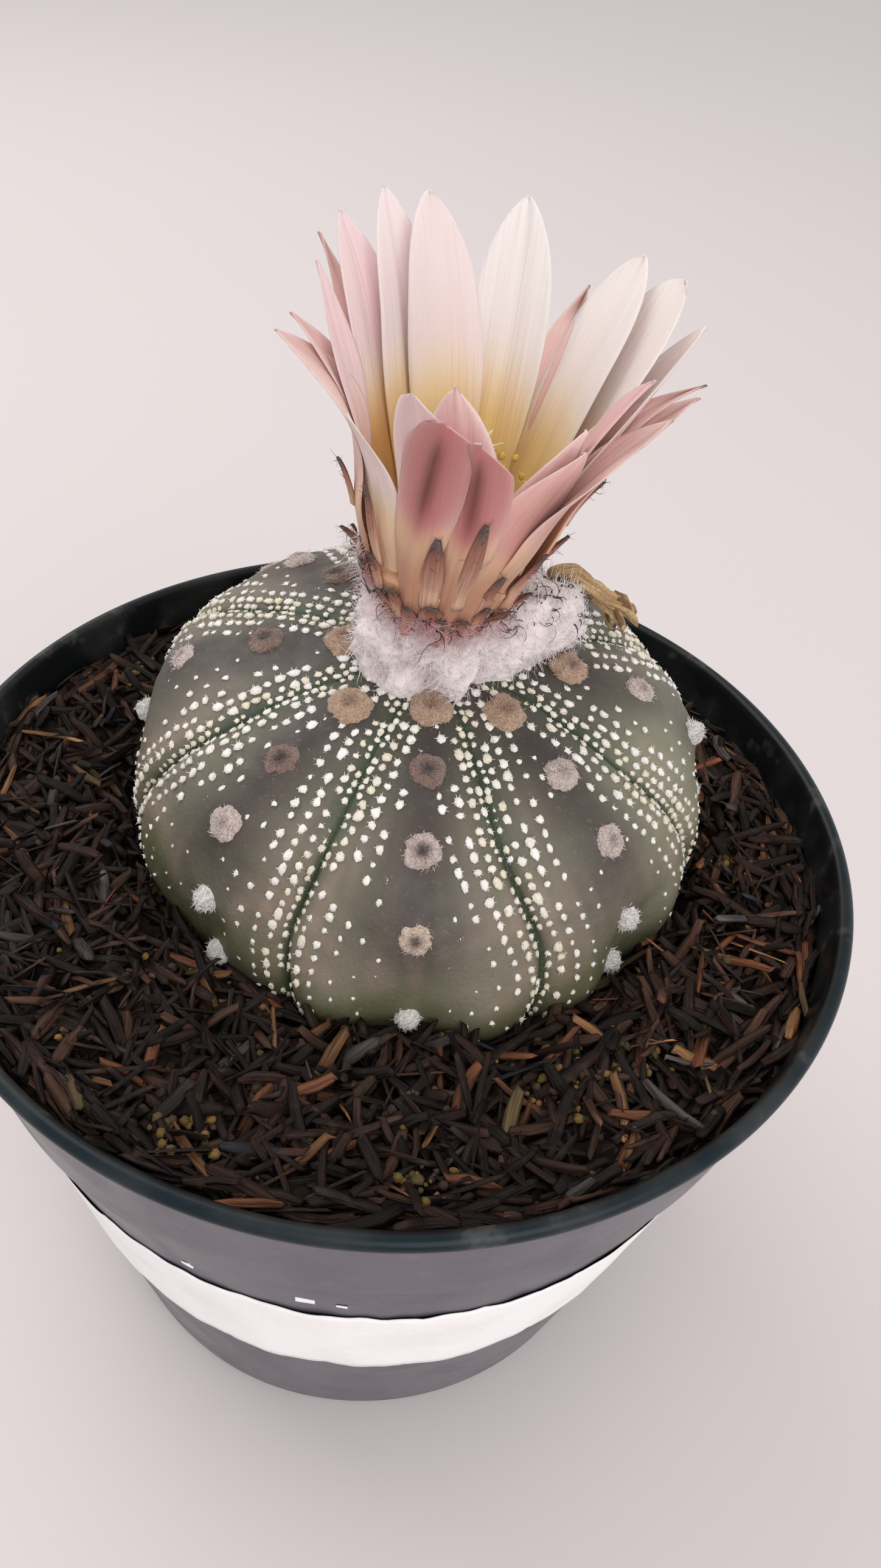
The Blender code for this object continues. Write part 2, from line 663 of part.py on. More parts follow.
def make_style():
    """Style that stands on the bowl's floor, with spread stigma lobes."""
    neck = STIGMA_HEIGHT - 3.4
    rings = [flower_ring(1.2, height, 8) for height in (9.55, neck)] + [flower_ring(0.9, neck + 0.8, 8)]
    finish = material("stigma_cream", (0.85, 0.76, 0.48), 0.6)
    style = add_object("flower_style", *rings_to_solid(rings), finish)
    lobes = []
    for number in range(STIGMA_LOBES):
        turn = 2 * math.pi * number / STIGMA_LOBES
        out = np.array([math.cos(turn), math.sin(turn), 0.0])
        middle = flower_point(1.7, turn, neck + 1.6)
        along = out * 1.5 + np.array([0.0, 0.0, 1.7])
        across = np.array([-math.sin(turn), math.cos(turn), 0.0]) * 0.55
        lobe = diamond(middle, along, across, np.cross(along, unit(across)) * 0.3)
        lobes.append(add_object(f"lobe_{number}", *lobe))
    combine(style, lobes, "UNION")


# Wool and withered flower

def swept_rings(path, radii, extra=0.0, sides=8, frill=0.0):
    """Rings square to a path of points."""
    path = np.asarray(path, float)
    ways = np.gradient(path, axis=0)
    rings = []
    for number, (middle, way, radius) in enumerate(zip(path, ways, radii)):
        way = unit(way)
        side = unit(np.cross([0.0, 0.0, 1.0], way))
        up = np.cross(way, side)
        waves = frill if number == len(path) - 1 else 0.0
        ring = []
        for corner in range(sides):
            turn = 2 * math.pi * corner / sides
            reach = radius + extra + waves * (-1) ** corner
            ring.append(middle + reach * (math.cos(turn) * side + math.sin(turn) * up))
        rings.append(ring)
    return rings


def make_withered_flower():
    points, faces = rings_to_solid(swept_rings(WITHERED_PATH, WITHERED_RADII, 0.0, 10, 0.6))
    add_object("withered_flower", points, faces, material("dry_straw", (0.55, 0.41, 0.21), 0.9))


def make_wool():
    """Lumpy cushion round the tube, with a longer lump towards the withered flower."""
    rings = [[] for _ in range(8)]
    for side in range(WOOL_SIDES):
        turn = 2 * math.pi * side / WOOL_SIDES
        away = (math.degrees(turn) - WOOL_LUMP_ANGLE + 180) % 360 - 180
        reach = WOOL_RADIUS + WOOL_LUMP_REACH * math.exp(-((away / WOOL_LUMP_WIDTH) ** 2))
        reach += 0.5 * math.sin(5 * turn + 1.0) + 0.4 * math.sin(9 * turn)
        rise = WOOL_HEIGHT + 0.4 * math.sin(7 * turn + 2.0)
        wall = tube_radius(rise) + GAP
        across = reach - wall
        section = (
            (tube_radius(-2.0) + GAP, WOOL_FLOOR),
            (wall + 0.86 * across, WOOL_FLOOR),
            (wall + 0.95 * across, -0.05 * rise),
            (wall + across, 0.32 * rise),
            (wall + 0.86 * across, 0.72 * rise),
            (wall + 0.5 * across, 0.98 * rise),
            (wall + 0.12 * across, 0.97 * rise),
            (wall, 0.8 * rise),
        )
        for ring, (radius, height) in zip(rings, section):
            ring.append(flower_point(radius, turn, height))
    points, faces = looped_rings_to_solid(rings)
    wool = add_object("wool_crown", points, faces, material("white_wool", (0.86, 0.84, 0.83), 1.0))
    socket = rings_to_solid(swept_rings(WITHERED_PATH, WITHERED_RADII, 0.45, 10, 0.0))
    cutters = [add_object("body_seat", *body_mesh(FLECK_HEIGHT + 0.2))]
    cutters.append(add_object("withered_socket", *socket))
    cutters += [add_object(f"areole_seat_{n}", *dome) for n, dome in enumerate(areole_domes(GAP))]
    combine(wool, cutters, "DIFFERENCE")


clear_scene()
make_pot()
make_label()
make_soil()
make_body()
make_wool()
make_tube()
rose = material("rose_tepal", (0.62, 0.36, 0.37), 0.55)
make_tepals("flower_outer_tepals", OUTER_TEPALS, OUTER_FOOT, OUTER_FLARE, rose)
pale = material("pale_tepal", (0.86, 0.74, 0.71), 0.55)
make_tepals("flower_inner_tepals", INNER_TEPALS, INNER_FOOT, INNER_FLARE, pale)
make_stamens()
make_style()
make_withered_flower()
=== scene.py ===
"""Potted star cactus in flower: fine shapes, finishes, light and camera.

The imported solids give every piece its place. Each section makes one real piece, or one group of
like pieces, as a surface worked out with numpy in millimetres, and gives it its finish. The
pieces follow the order in which the thing is put together: pot, label, potting mix, plant, wool,
flower and old flower. The floor, lights and camera come last.
"""
import math

import bpy
import numpy as np
from mathutils import Matrix


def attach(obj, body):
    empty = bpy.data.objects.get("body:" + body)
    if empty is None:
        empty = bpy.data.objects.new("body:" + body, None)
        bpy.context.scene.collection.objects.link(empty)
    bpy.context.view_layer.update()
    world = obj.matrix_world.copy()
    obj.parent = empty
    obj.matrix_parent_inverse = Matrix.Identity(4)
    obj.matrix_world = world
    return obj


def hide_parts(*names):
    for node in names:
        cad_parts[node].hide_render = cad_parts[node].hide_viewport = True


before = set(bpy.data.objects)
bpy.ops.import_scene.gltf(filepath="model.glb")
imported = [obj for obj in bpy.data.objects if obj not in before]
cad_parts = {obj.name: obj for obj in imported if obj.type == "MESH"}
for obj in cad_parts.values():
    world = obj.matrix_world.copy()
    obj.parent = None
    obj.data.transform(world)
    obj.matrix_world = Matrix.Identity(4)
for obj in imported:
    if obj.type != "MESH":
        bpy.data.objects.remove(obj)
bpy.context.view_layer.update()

# Pot
# A thin-walled nursery pot, injection moulded in dark blue-green plastic. It has a rolled lip, a
# collar under it, a long tapered wall and a raised base with drain holes inside its foot ring.

MM = 0.001
POT_HEIGHT = 111.0
RIM_RADIUS = 75.0
BASE_RADIUS = 54.0
WALL = 1.2
COLLAR_HEIGHT = 86.0
COLLAR_STEP = 1.0
UNDERSIDE = 2.0
INNER_FLOOR = 3.2
LIP_HALF = 1.3
POT_SIDES = 288
DRAIN_RING = 30.0
DRAIN_TURNS = [2 * math.pi * k / 5 for k in range(5)]
DRAINS = [(0.0, 0.0)] + [(DRAIN_RING * math.cos(turn), DRAIN_RING * math.sin(turn)) for turn in DRAIN_TURNS]
LIP_COLOUR = (0.004, 0.012, 0.017)
# Painted reflection: the outer wall's dark plastic is painted a pinkish grey, the pale floor seen in it at
# a grazing angle.
WALL_PAINTED_REFLECTION = (0.090, 0.083, 0.105)
INSIDE_COLOUR = (0.006, 0.007, 0.008)
EVEN_SPREAD = (1.0, 0.82, 0.74)
# Radii and heights from the raised base out to the foot ring's edge
FOOT_RING = [
    (30.0, UNDERSIDE), (45.0, UNDERSIDE), (46.2, 1.8), (46.6, 1.0), (46.9, 0.15), (47.6, 0.0), (53.0, 0.0),
    (53.7, 0.25),
]


def closed_tubes(rings, first, last):
    """Closed surfaces of many like tubes: points by tube, ring and place round the ring.

    Neighbouring rings are joined by quads, counterclockwise seen from outside when the rings turn
    left about the way from first to last, and each end is a fan of triangles to its pole.
    """
    count, rows, around, _ = rings.shape
    points = np.concatenate([rings.reshape(count, -1, 3), first[:, None], last[:, None]], axis=1)
    row, place = (index.ravel() for index in np.mgrid[0 : rows - 1, 0:around])
    after = (place + 1) % around
    low, high = row * around, (row + 1) * around
    quads = np.stack([low + place, low + after, high + after, high + place], axis=1)
    place = np.arange(around)
    after = (place + 1) % around
    top = (rows - 1) * around
    pole = np.full(around, rows * around)
    first_fan = np.stack([pole, after, place], axis=1)
    last_fan = np.stack([pole + 1, top + place, top + after], axis=1)
    fans = np.concatenate([first_fan, last_fan])
    shift = (np.arange(count) * points.shape[1])[:, None, None]
    return points.reshape(-1, 3), [(quads + shift).reshape(-1, 4), (fans + shift).reshape(-1, 3)]


def new_piece(name, surface, finish, tint=None, run=None):
    """Mesh object from points in millimetres, with a colour and a run (along, across, draw) per point."""
    points, faces = surface
    mesh = bpy.data.meshes.new(name)
    mesh.from_pydata((points * MM).tolist(), [], [face for group in faces for face in group.tolist()])
    mesh.shade_smooth()
    if tint is not None:
        colours = np.concatenate([np.clip(tint, 0, 1), np.ones((len(points), 1))], axis=1)
        mesh.color_attributes.new("tint", "FLOAT_COLOR", "POINT").data.foreach_set("color", colours.ravel())
    if run is not None:
        mesh.attributes.new("run", "FLOAT_VECTOR", "POINT").data.foreach_set("vector", run.ravel())
    mesh.materials.append(finish)
    piece = bpy.data.objects.new(name, mesh)
    bpy.context.scene.collection.objects.link(piece)
    return piece


def new_finish(name, roughness, shine=0.5, sheen=0.0, glow=0.0, reach=0.05):
    """Material with one Principled shader: glow is the light that passes inside it, up to its reach."""
    finish = bpy.data.materials.new(name)
    finish.use_nodes = True
    shader = finish.node_tree.nodes["Principled BSDF"]
    numbers = {"Roughness": roughness, "Specular IOR Level": shine, "Sheen Weight": sheen}
    numbers |= {"Subsurface Weight": glow, "Subsurface Scale": reach, "Subsurface Radius": EVEN_SPREAD}
    for socket, value in numbers.items():
        shader.inputs[socket].default_value = value
    return finish, finish.node_tree, shader


def node_of(tree, kind, inputs, **settings):
    """Outputs of a new shader node, whose inputs take values or other nodes' outputs."""
    node = tree.nodes.new("ShaderNode" + kind)
    for name, value in settings.items():
        setattr(node, name, value)
    for socket, value in inputs.items():
        if isinstance(value, bpy.types.NodeSocket):
            tree.links.new(value, node.inputs[socket])
        else:
            node.inputs[socket].default_value = value
    return node.outputs


def attribute_of(tree, name):
    """The mesh's tint, as a colour, or its run, as a vector."""
    return node_of(tree, "Attribute", {}, attribute_name=name)["Color" if name == "tint" else "Vector"]


def noise_of(tree, size, detail=3.0, stretch=(1.0, 1.0, 1.0), on_run=False):
    """Noise with patches of a size in metres, on Object coordinates or on the mesh's own run."""
    place = attribute_of(tree, "run") if on_run else node_of(tree, "TexCoord", {})["Object"]
    place = node_of(tree, "Mapping", {"Vector": place, "Scale": stretch})["Vector"]
    return node_of(tree, "TexNoise", {"Vector": place, "Scale": 1.0 / size, "Detail": detail})["Fac"]


def range_of(tree, value, low, high, to_low=0.0, to_high=1.0):
    """Stretches a value's range from low..high to another, without going past its ends."""
    inputs = {"Value": value, "From Min": low, "From Max": high, "To Min": to_low, "To Max": to_high}
    return node_of(tree, "MapRange", inputs)["Result"]


def mixed(tree, factor, first, second, way="MIX"):
    """Colour mix; first and second are outputs or colours, factor an output or a number."""
    inputs = {0: factor}
    for socket, colour in ((6, first), (7, second)):
        inputs[socket] = colour if isinstance(colour, bpy.types.NodeSocket) else (*colour, 1.0)
    return node_of(tree, "Mix", inputs, data_type="RGBA", blend_type=way)[2]


def tinted(tree, factor, colour):
    """The mesh's tint with a colour mixed in by an output."""
    return mixed(tree, factor, attribute_of(tree, "tint"), colour)


def set_colour(tree, shader, colour):
    """Joins a colour output to the shader."""
    tree.links.new(colour, shader.inputs["Base Color"])


def add_bump(tree, shader, height, depth):
    """Bump whose relief is about depth, in metres, from a height output of 0 to 1."""
    normal = node_of(tree, "Bump", {"Height": height, "Distance": depth})["Normal"]
    tree.links.new(normal, shader.inputs["Normal"])


def soft_noise(places, size, seed, waves=9):
    """Smooth noise of about -1 to 1: the mean of sine waves, each about size long, in drawn directions."""
    draw = np.random.default_rng(seed)
    ways = draw.normal(size=(waves, places.shape[-1]))
    ways /= np.linalg.norm(ways, axis=1, keepdims=True)
    lengths = size * draw.uniform(0.65, 1.6, (waves, 1))
    phases = draw.uniform(0, 2 * np.pi, waves)
    return np.sin(places @ (2 * np.pi * ways / lengths).T + phases).sum(axis=-1) / math.sqrt(waves)


def ease(low, high, value):
    """Eases a value's rise from 0 at low to 1 at high, level at both ends."""
    share = np.clip((value - low) / (high - low), 0, 1)
    return share * share * (3 - 2 * share)


def bell(away):
    """Bell curve: 1 at its middle and about a third at one width away, with away counted in widths."""
    return np.exp(-(away**2))


def points_of(*coordinates):
    """Points from their coordinates, which are stretched to one common shape."""
    return np.stack(np.broadcast_arrays(*coordinates), axis=-1)


def all_round(count):
    """Directions in equal steps round a full turn."""
    return np.linspace(0, 2 * np.pi, count, endpoint=False)


def pot_outside(height):
    """Radius of the outer wall under the collar."""
    slope = (RIM_RADIUS - BASE_RADIUS) / POT_HEIGHT
    return BASE_RADIUS + (slope * COLLAR_HEIGHT - COLLAR_STEP) * height / COLLAR_HEIGHT


def pot_profile():
    """Radii, heights and finish zones (0 wall, 1 lip, 2 inside) from the underside to the inner floor."""
    step = pot_outside(COLLAR_HEIGHT)
    collar_top = RIM_RADIUS - 1.25
    wall_heights = np.linspace(1.2, COLLAR_HEIGHT - 0.4, 26)
    outside = FOOT_RING + [(pot_outside(height), height) for height in wall_heights]
    outside += [(step + out, COLLAR_HEIGHT + up) for out, up in ((0.15, -0.1), (0.6, 0.05), (0.95, 0.35))]
    collar = np.linspace(0.05, 1.0, 10)
    outside += [(step + 1 + (collar_top - step - 1) * up, COLLAR_HEIGHT + 0.5 + 21.4 * up) for up in collar]
    turn = np.radians(np.linspace(-80, 150, 12))
    lip_middle = RIM_RADIUS - LIP_HALF
    lip = [(lip_middle + LIP_HALF * math.cos(t), POT_HEIGHT - 1.35 + 1.35 * math.sin(t)) for t in turn]
    inside_top = RIM_RADIUS - 2 * LIP_HALF
    inside = [(inside_top - 0.05, POT_HEIGHT - 1.6), (inside_top - 0.35, POT_HEIGHT - 3.0)]
    collar_foot = step - 0.15
    collar_lean = inside_top - 0.6 - step
    collar = np.linspace(0.9, 0, 7)
    inside += [(collar_foot + collar_lean * up, COLLAR_HEIGHT + 0.5 + 20 * up) for up in collar]
    inside += [(step - WALL, COLLAR_HEIGHT - 0.8)]
    inside += [(pot_outside(height) - WALL, height) for height in np.linspace(COLLAR_HEIGHT - 4, 4.2, 10)]
    inside += [(pot_outside(INNER_FLOOR) - WALL - 1.0, INNER_FLOOR + 0.05), (30.0, INNER_FLOOR)]
    zones = [0] * len(outside) + [1 if t < 1.75 else 2 for t in turn] + [2] * len(inside)
    return np.array(outside + lip + inside), np.array(zones)


def turned_rings(profile, sides):
    """Profile of radii and heights turned about the Z axis."""
    turn = all_round(sides)
    return points_of(profile[:, :1] * np.cos(turn), profile[:, :1] * np.sin(turn), profile[:, 1:])


profile, zones = pot_profile()
rings = turned_rings(profile, POT_SIDES)
turn = np.arctan2(rings[..., 1], rings[..., 0])
flash = np.maximum(soft_noise(points_of(turn * 9, 0.0), 1.1, 4), 0) * 0.12
burr = bell((turn + 2.28) / 0.05) * 0.3
lip_start = int(np.argmax(zones == 1))
lip_edge = np.zeros(len(profile))
lip_edge[lip_start : lip_start + 2] = (1.0, 0.6)
rings[..., 2] -= (flash + burr) * lip_edge[:, None]
uneven = soft_noise(rings[..., :2] * 0.05 + 3, 1.6, 5) * 0.0012 * (zones != 1)[:, None]
rings[..., :2] *= 1 + uneven[..., None]
pot_surface = closed_tubes(rings[None], np.array([[0, 0, UNDERSIDE]]), np.array([[0, 0, INNER_FLOOR]]))

pot_finish, tree, shader = new_finish("moulded_plastic", 0.32, shine=0.20)
dust = range_of(tree, noise_of(tree, 0.012, 6.0), 0.45, 0.75)
scuffs = range_of(tree, noise_of(tree, 0.006, 6.0), 0.60, 0.80, 0.0, 0.30)
worn = tinted(tree, range_of(tree, dust, 0, 1, 0.0, 0.10), (0.26, 0.24, 0.23))
set_colour(tree, shader, mixed(tree, scuffs, worn, (0.24, 0.23, 0.22)))
tree.links.new(range_of(tree, dust, 0, 1, 0.28, 0.46), shader.inputs["Roughness"])
add_bump(tree, shader, noise_of(tree, 0.0016, 2.0), 0.00003)

# The outer wall and the underside take the painted reflection grey.
zone_tints = np.array([WALL_PAINTED_REFLECTION, LIP_COLOUR, INSIDE_COLOUR])[zones]
pot_tint = np.concatenate([np.repeat(zone_tints, POT_SIDES, axis=0), [WALL_PAINTED_REFLECTION, INSIDE_COLOUR]])
pot = new_piece("moulded_pot", pot_surface, pot_finish, pot_tint)

drill_profile = np.array([(4.0, -1.0), (4.0, 6.0)])
drills = np.stack([turned_rings(drill_profile, 32) + (x, y, 0) for x, y in DRAINS])
middles = np.array([(x, y, 0) for x, y in DRAINS])
drill_surface = closed_tubes(drills, middles + (0, 0, -1.0), middles + (0, 0, 6.0))
drill = new_piece("drain_drills", drill_surface, pot_finish)
cut = pot.modifiers.new("drain_holes", "BOOLEAN")
cut.operation = "DIFFERENCE"
cut.solver = "EXACT"
cut.object = drill
bpy.context.view_layer.update()
drilled = bpy.data.meshes.new_from_object(pot.evaluated_get(bpy.context.evaluated_depsgraph_get()))
pot.modifiers.remove(cut)
pot.data = drilled
bpy.data.objects.remove(drill)
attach(pot, "root")
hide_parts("pot")

# Paper label
# A strip of white paper wrapped once round the pot, its end glued over its start. It has soft
# wrinkles and torn edges, nothing is written on it, and scraps of an older one stick above it.

LABEL_BOTTOM = 38.0
LABEL_TOP = 71.5
LABEL_LIFT = 0.32
LABEL_SLANT = 0.8
LABEL_STEPS = 420
LABEL_ROWS = 15
LABEL_START = math.radians(60)
LABEL_OVERLAP = math.radians(13)
LABEL_RADIUS = 62.0
OVERLAP_LIFT = 0.28
PAPER_THICKNESS = 0.14
# Direction and width in degrees, and the heights of the lower and upper edges
SCRAPS = ((-97, 2.4, 76.5, 78.1), (-92, 1.4, 76.4, 77.5), (-112, 1.6, 75.9, 76.9))
SCRAP_LIFT = 0.02


def flat_ring(middle, out, half):
    """Ring round a thin cross-section: its front points in order, then its back points in return."""
    return np.concatenate([middle + out * half, (middle - out * half)[..., ::-1, :]], axis=-2)


def paper_strip(start, sweep, low_edge, high_edge, lift, steps, rows, seed):
    """Curved sheet on the pot's wall between two edges; wrinkles lift it by up to 0.3 mm."""
    turn = start + sweep * np.linspace(0, 1, steps)[:, None]
    torn = points_of(turn[:, 0] * 40, 0.0)
    slant = LABEL_SLANT * np.sin(turn - 0.5)
    low = low_edge + slant + 0.14 * soft_noise(torn, 2.0, seed)[:, None]
    high = high_edge + slant + 0.30 * soft_noise(torn, 2.6, seed + 1)[:, None]
    up = np.linspace(0, 1, rows)
    height = low + (high - low) * up
    wrinkle = 0.5 + 0.5 * soft_noise(points_of(turn * 55 + up * 2, height * 0.25), 9.0, seed + 2)
    crease = np.abs(soft_noise(points_of(turn * 55, height + turn * 9), 22.0, seed + 3))
    radius = pot_outside(height) + lift + 0.22 * wrinkle - 0.12 * bell(crease / 0.05)
    middle = points_of(radius * np.cos(turn), radius * np.sin(turn), height)
    out = points_of(np.cos(turn), np.sin(turn), 0.0)
    ring = flat_ring(middle, out, PAPER_THICKNESS / 2)[None, ::-1]
    return ring, middle[None, -1].mean(axis=1), middle[None, 0].mean(axis=1)


def joined(surfaces):
    """One surface from several, with their points numbered on."""
    points, faces, start = [], [], 0
    for places, groups in surfaces:
        points.append(places)
        faces += [group + start for group in groups]
        start += len(places)
    return np.concatenate(points), faces


sweep = 2 * math.pi + LABEL_OVERLAP
edges = (LABEL_BOTTOM, LABEL_TOP)
rings, first, last = paper_strip(LABEL_START, sweep, *edges, LABEL_LIFT, LABEL_STEPS, LABEL_ROWS, 21)
full_turn = 2 * math.pi
lap = ease(full_turn - 0.1, full_turn, np.linspace(0, sweep, LABEL_STEPS))[::-1]
rings[..., :2] *= (1 + OVERLAP_LIFT * lap / LABEL_RADIUS)[None, :, None, None]
sheets = [closed_tubes(rings, first, last)]
for number, (degrees, width, low, high) in enumerate(SCRAPS):
    scrap = (math.radians(degrees), math.radians(width), low, high, SCRAP_LIFT, 12, 6, 40 + 5 * number)
    sheets.append(closed_tubes(*paper_strip(*scrap)))

paper_finish, tree, shader = new_finish("label_paper", 0.82)
smudge = range_of(tree, noise_of(tree, 0.018, 5.0), 0.5, 0.8, 0.0, 0.5)
fibres = noise_of(tree, 0.0009, 3.0, (1.0, 1.0, 2.5))
pulp = mixed(tree, fibres, (0.93, 0.925, 0.94), (0.86, 0.85, 0.86))
set_colour(tree, shader, mixed(tree, smudge, pulp, (0.72, 0.68, 0.65)))
add_bump(tree, shader, noise_of(tree, 0.0022, 5.0), 0.00018)
label = new_piece("blank_label", joined(sheets), paper_finish)
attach(label, "root")
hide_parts("paper_band")

# Potting mix
# Damp dark mix fills the pot to a few millimetres under its lip. It sinks a little beside the
# plant, and the plant's root has its own hole in it.

SOIL_HEIGHT = 103.6
SOIL_RADIUS = 71.6
SOIL_FALL = 1.1
SOIL_DIP = 4.6
SOIL_DIP_WIDTH = 5.5
SOIL_BANK = 2.6
SOIL_SIDES = 240
MIX_COLOUR = (0.006, 0.004, 0.003)
MIX_LIGHT = (0.022, 0.013, 0.010)
BODY_CENTRE = np.array([3.4, 11.3, 111.7])
BODY_LEAN = (0.007, -0.117)
BODY_RADIUS = 47.7
# Radii and depths of the root's hole, from the body's underside down
HOLE = ((47.8, -13.5), (46.6, -20.0), (37.5, -31.0), (18.5, -45.0), (10.5, -61.0))


def from_plant(x, y):
    """Distance from the plant's outline, which is nearly round at the mix."""
    return np.hypot(x - BODY_CENTRE[0], y - BODY_CENTRE[1] - 1.0) - BODY_RADIUS - 1.0


def soil_level(x, y):
    """Height of the mix: falls to the right and back, dips beside the plant, and is banked up in front."""
    dip = SOIL_DIP * bell(np.maximum(from_plant(x, y), 0.0) / SOIL_DIP_WIDTH)
    front = np.maximum(-0.35 * x - 0.94 * y, 0.0) / RIM_RADIUS
    bank = SOIL_BANK * front**2 * ease(52, 70, np.hypot(x, y))
    return SOIL_HEIGHT - SOIL_FALL * (x + y) / RIM_RADIUS - dip + bank


def leaned(x, y, z):
    """Body coordinates, from the middle of the widest plane, turned by the lean and put in place."""
    lean_x, lean_y = BODY_LEAN
    return points_of(x + lean_x * z, y + lean_y * z, z - lean_x * x - lean_y * y) + BODY_CENTRE


def grained_finish(name, roughness, grain, span, second, first=None, depth=0.0, way="MIX", **looks):
    """Finish whose grain mixes a second colour into the first, or into the tint, and stands up by depth.

    The grain is a noise's size, detail, stretch and place. The span is its low and high end, and how
    much of the second colour shows at each.
    """
    finish, tree, shader = new_finish(name, roughness, **looks)
    noise = noise_of(tree, *grain)
    first = first or attribute_of(tree, "tint")
    set_colour(tree, shader, mixed(tree, range_of(tree, noise, *span), first, second, way))
    if depth:
        add_bump(tree, shader, noise, depth)
    return finish


turn = all_round(SOIL_SIDES)
way = points_of(np.cos(turn), np.sin(turn))
wall_low = (pot_outside(4.0) - WALL - 0.5, 3.7)
wall_middle = (pot_outside(45.0) - WALL - 0.4, 45.0)
wall = turned_rings(np.array([wall_low, wall_middle, (68.4, 88.0)]), SOIL_SIDES)
outer = way * SOIL_RADIUS
inner = way * (BODY_RADIUS + 1.2) + BODY_CENTRE[:2] + (0, 1.0)
flat = outer + (inner - outer) * np.linspace(0, 1, 26)[:, None, None]
crumbs = 0.7 * soft_noise(flat, 5.0, 51) + 0.45 * soft_noise(flat, 2.2, 52)
level = soil_level(flat[..., 0], flat[..., 1]) + crumbs - 0.6
top = np.concatenate([flat, level[..., None]], axis=2)
hole_radii, hole_depths = np.array(HOLE).T[..., None]
hole = leaned(hole_radii * way[:, 0], hole_radii * way[:, 1], hole_depths)
rings = np.concatenate([wall, top, hole])[None]
mix_surface = closed_tubes(rings, np.array([[0, 0, 3.6]]), leaned(0.0, 0.0, -72.0)[None])
mix_finish = grained_finish(
    "dark_mix", 0.95, (0.0016, 6.0), (0.4, 0.75), MIX_LIGHT, MIX_COLOUR, depth=0.0012, shine=0.15
)
potting_mix = new_piece("potting_mix", mix_surface, mix_finish)
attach(potting_mix, "root")
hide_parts("soil")

# Rice husks and crumbs on the mix
# Loose weathered husks, each a thin split boat with ridges along it, lie over each other in
# every direction. Small mossy and stony crumbs are caught between them.

HUSK_COUNT = 2800
# Colour of a kind of husk and its share of them all
HUSK_KINDS = (
    ((0.018, 0.009, 0.007), 0.23),
    ((0.032, 0.016, 0.012), 0.18),
    ((0.009, 0.006, 0.005), 0.19),
    ((0.015, 0.010, 0.009), 0.13),
    ((0.062, 0.030, 0.020), 0.12),
    ((0.150, 0.055, 0.027), 0.05),
    ((0.215, 0.105, 0.045), 0.035),
    ((0.060, 0.050, 0.050), 0.03),
    ((0.028, 0.030, 0.036), 0.02),
    ((0.110, 0.075, 0.035), 0.015),
)
# Lengthwise places of a husk's four rings, and how wide it is at each
HUSK_STEPS = np.array([-0.42, -0.18, 0.18, 0.42])
HUSK_FULLNESS = np.array([0.72, 1.0, 1.0, 0.76])
# Directions of a ring's points, over the back and inside the split, and how far out each one is
HUSK_ARC = np.radians([-78, -30, 30, 78, 40, -40])
HUSK_REACH = np.array([1, 1, 1, 1, 0.62, 0.62])
# Middle, spread and number of crumbs in a heap
CRUMB_HEAPS = (
    (27, -46, 7, 70), (-24, -60, 5, 34), (9, -63, 4, 22), (58, 2, 6, 40),
    (-50, 38, 7, 30), (35, -40, 6, 30), (-5, 62, 9, 26),
)
CRUMB_KINDS = (
    ((0.20, 0.125, 0.035), 0.27),
    ((0.11, 0.085, 0.03), 0.24),
    ((0.26, 0.13, 0.045), 0.12),
    ((0.06, 0.038, 0.025), 0.34),
    ((0.40, 0.36, 0.31), 0.03),
)


def scattered(count, seed):
    """Drawn places between the plant's outline and the pot's wall."""
    draw = np.random.default_rng(seed)
    places = draw.uniform(-72, 72, (count * 4, 2))
    clear = (np.hypot(places[:, 0], places[:, 1]) < 71.0) & (from_plant(places[:, 0], places[:, 1]) > -1.0)
    return places[clear][:count]


def frames_on_mix(heading, tilt, roll):
    """Way along, way across and way up of pieces that lie on the mix, turned, tilted and rolled."""
    along = points_of(np.cos(heading) * np.cos(tilt), np.sin(heading) * np.cos(tilt), np.sin(tilt))
    level = points_of(-np.sin(heading), np.cos(heading), 0.0)
    upward = np.cross(along, level)
    across = level * np.cos(roll)[:, None] + upward * np.sin(roll)[:, None]
    return along, across, np.cross(along, across)


def kinds_drawn(draw, kinds, count):
    """Colours of kinds, drawn by their shares."""
    colours, shares = zip(*kinds)
    return np.array(colours)[draw.choice(len(kinds), count, p=shares)]


draw = np.random.default_rng(61)
x, y = scattered(HUSK_COUNT, 62).T
count = len(x)
heading = draw.uniform(0, 2 * np.pi, count)
beside_wall = np.hypot(x, y) > 66.5
heading = np.where(beside_wall, np.arctan2(y, x) + np.pi / 2 + draw.normal(0, 0.25, count), heading)
beside_plant = from_plant(x, y) < 4.5
round_plant = np.arctan2(y - 12.3, x - 3.4) + np.pi / 2 + draw.normal(0, 0.45, count)
heading = np.where(beside_plant, round_plant, heading)
beside = beside_plant | beside_wall
layer = draw.uniform(0, 1, count)
tilt = draw.normal(0, 0.30, count) * np.where(beside, 0.5, 1.0)
roll = draw.normal(0, 0.75, count)
along, across, upward = frames_on_mix(heading, tilt, roll)
length = draw.uniform(6.5, 14.5, count)[:, None] * np.where(beside, 0.85, 1.0)[:, None]
width = draw.uniform(1.1, 2.4, count)[:, None]
centre = points_of(x, y, soil_level(x, y) - 1.4 + 3.0 * layer)
bend = draw.uniform(-0.11, 0.11, count)[:, None]
middle = centre[:, None] + along[:, None] * (HUSK_STEPS * length)[..., None]
middle += across[:, None] * (bend * length * HUSK_STEPS**2 * 4)[..., None]
half = (width / 2 * HUSK_FULLNESS)[..., None]
sideways = half * (np.sin(HUSK_ARC) * HUSK_REACH)
rise = half * 0.75 * (np.cos(HUSK_ARC) * HUSK_REACH - 0.3)
rings = middle[:, :, None] + across[:, None, None] * sideways[..., None]
rings = rings + upward[:, None, None] * rise[..., None]
husk_surface = closed_tubes(rings[:, :, ::-1], centre - along * length / 2, centre + along * length / 2)
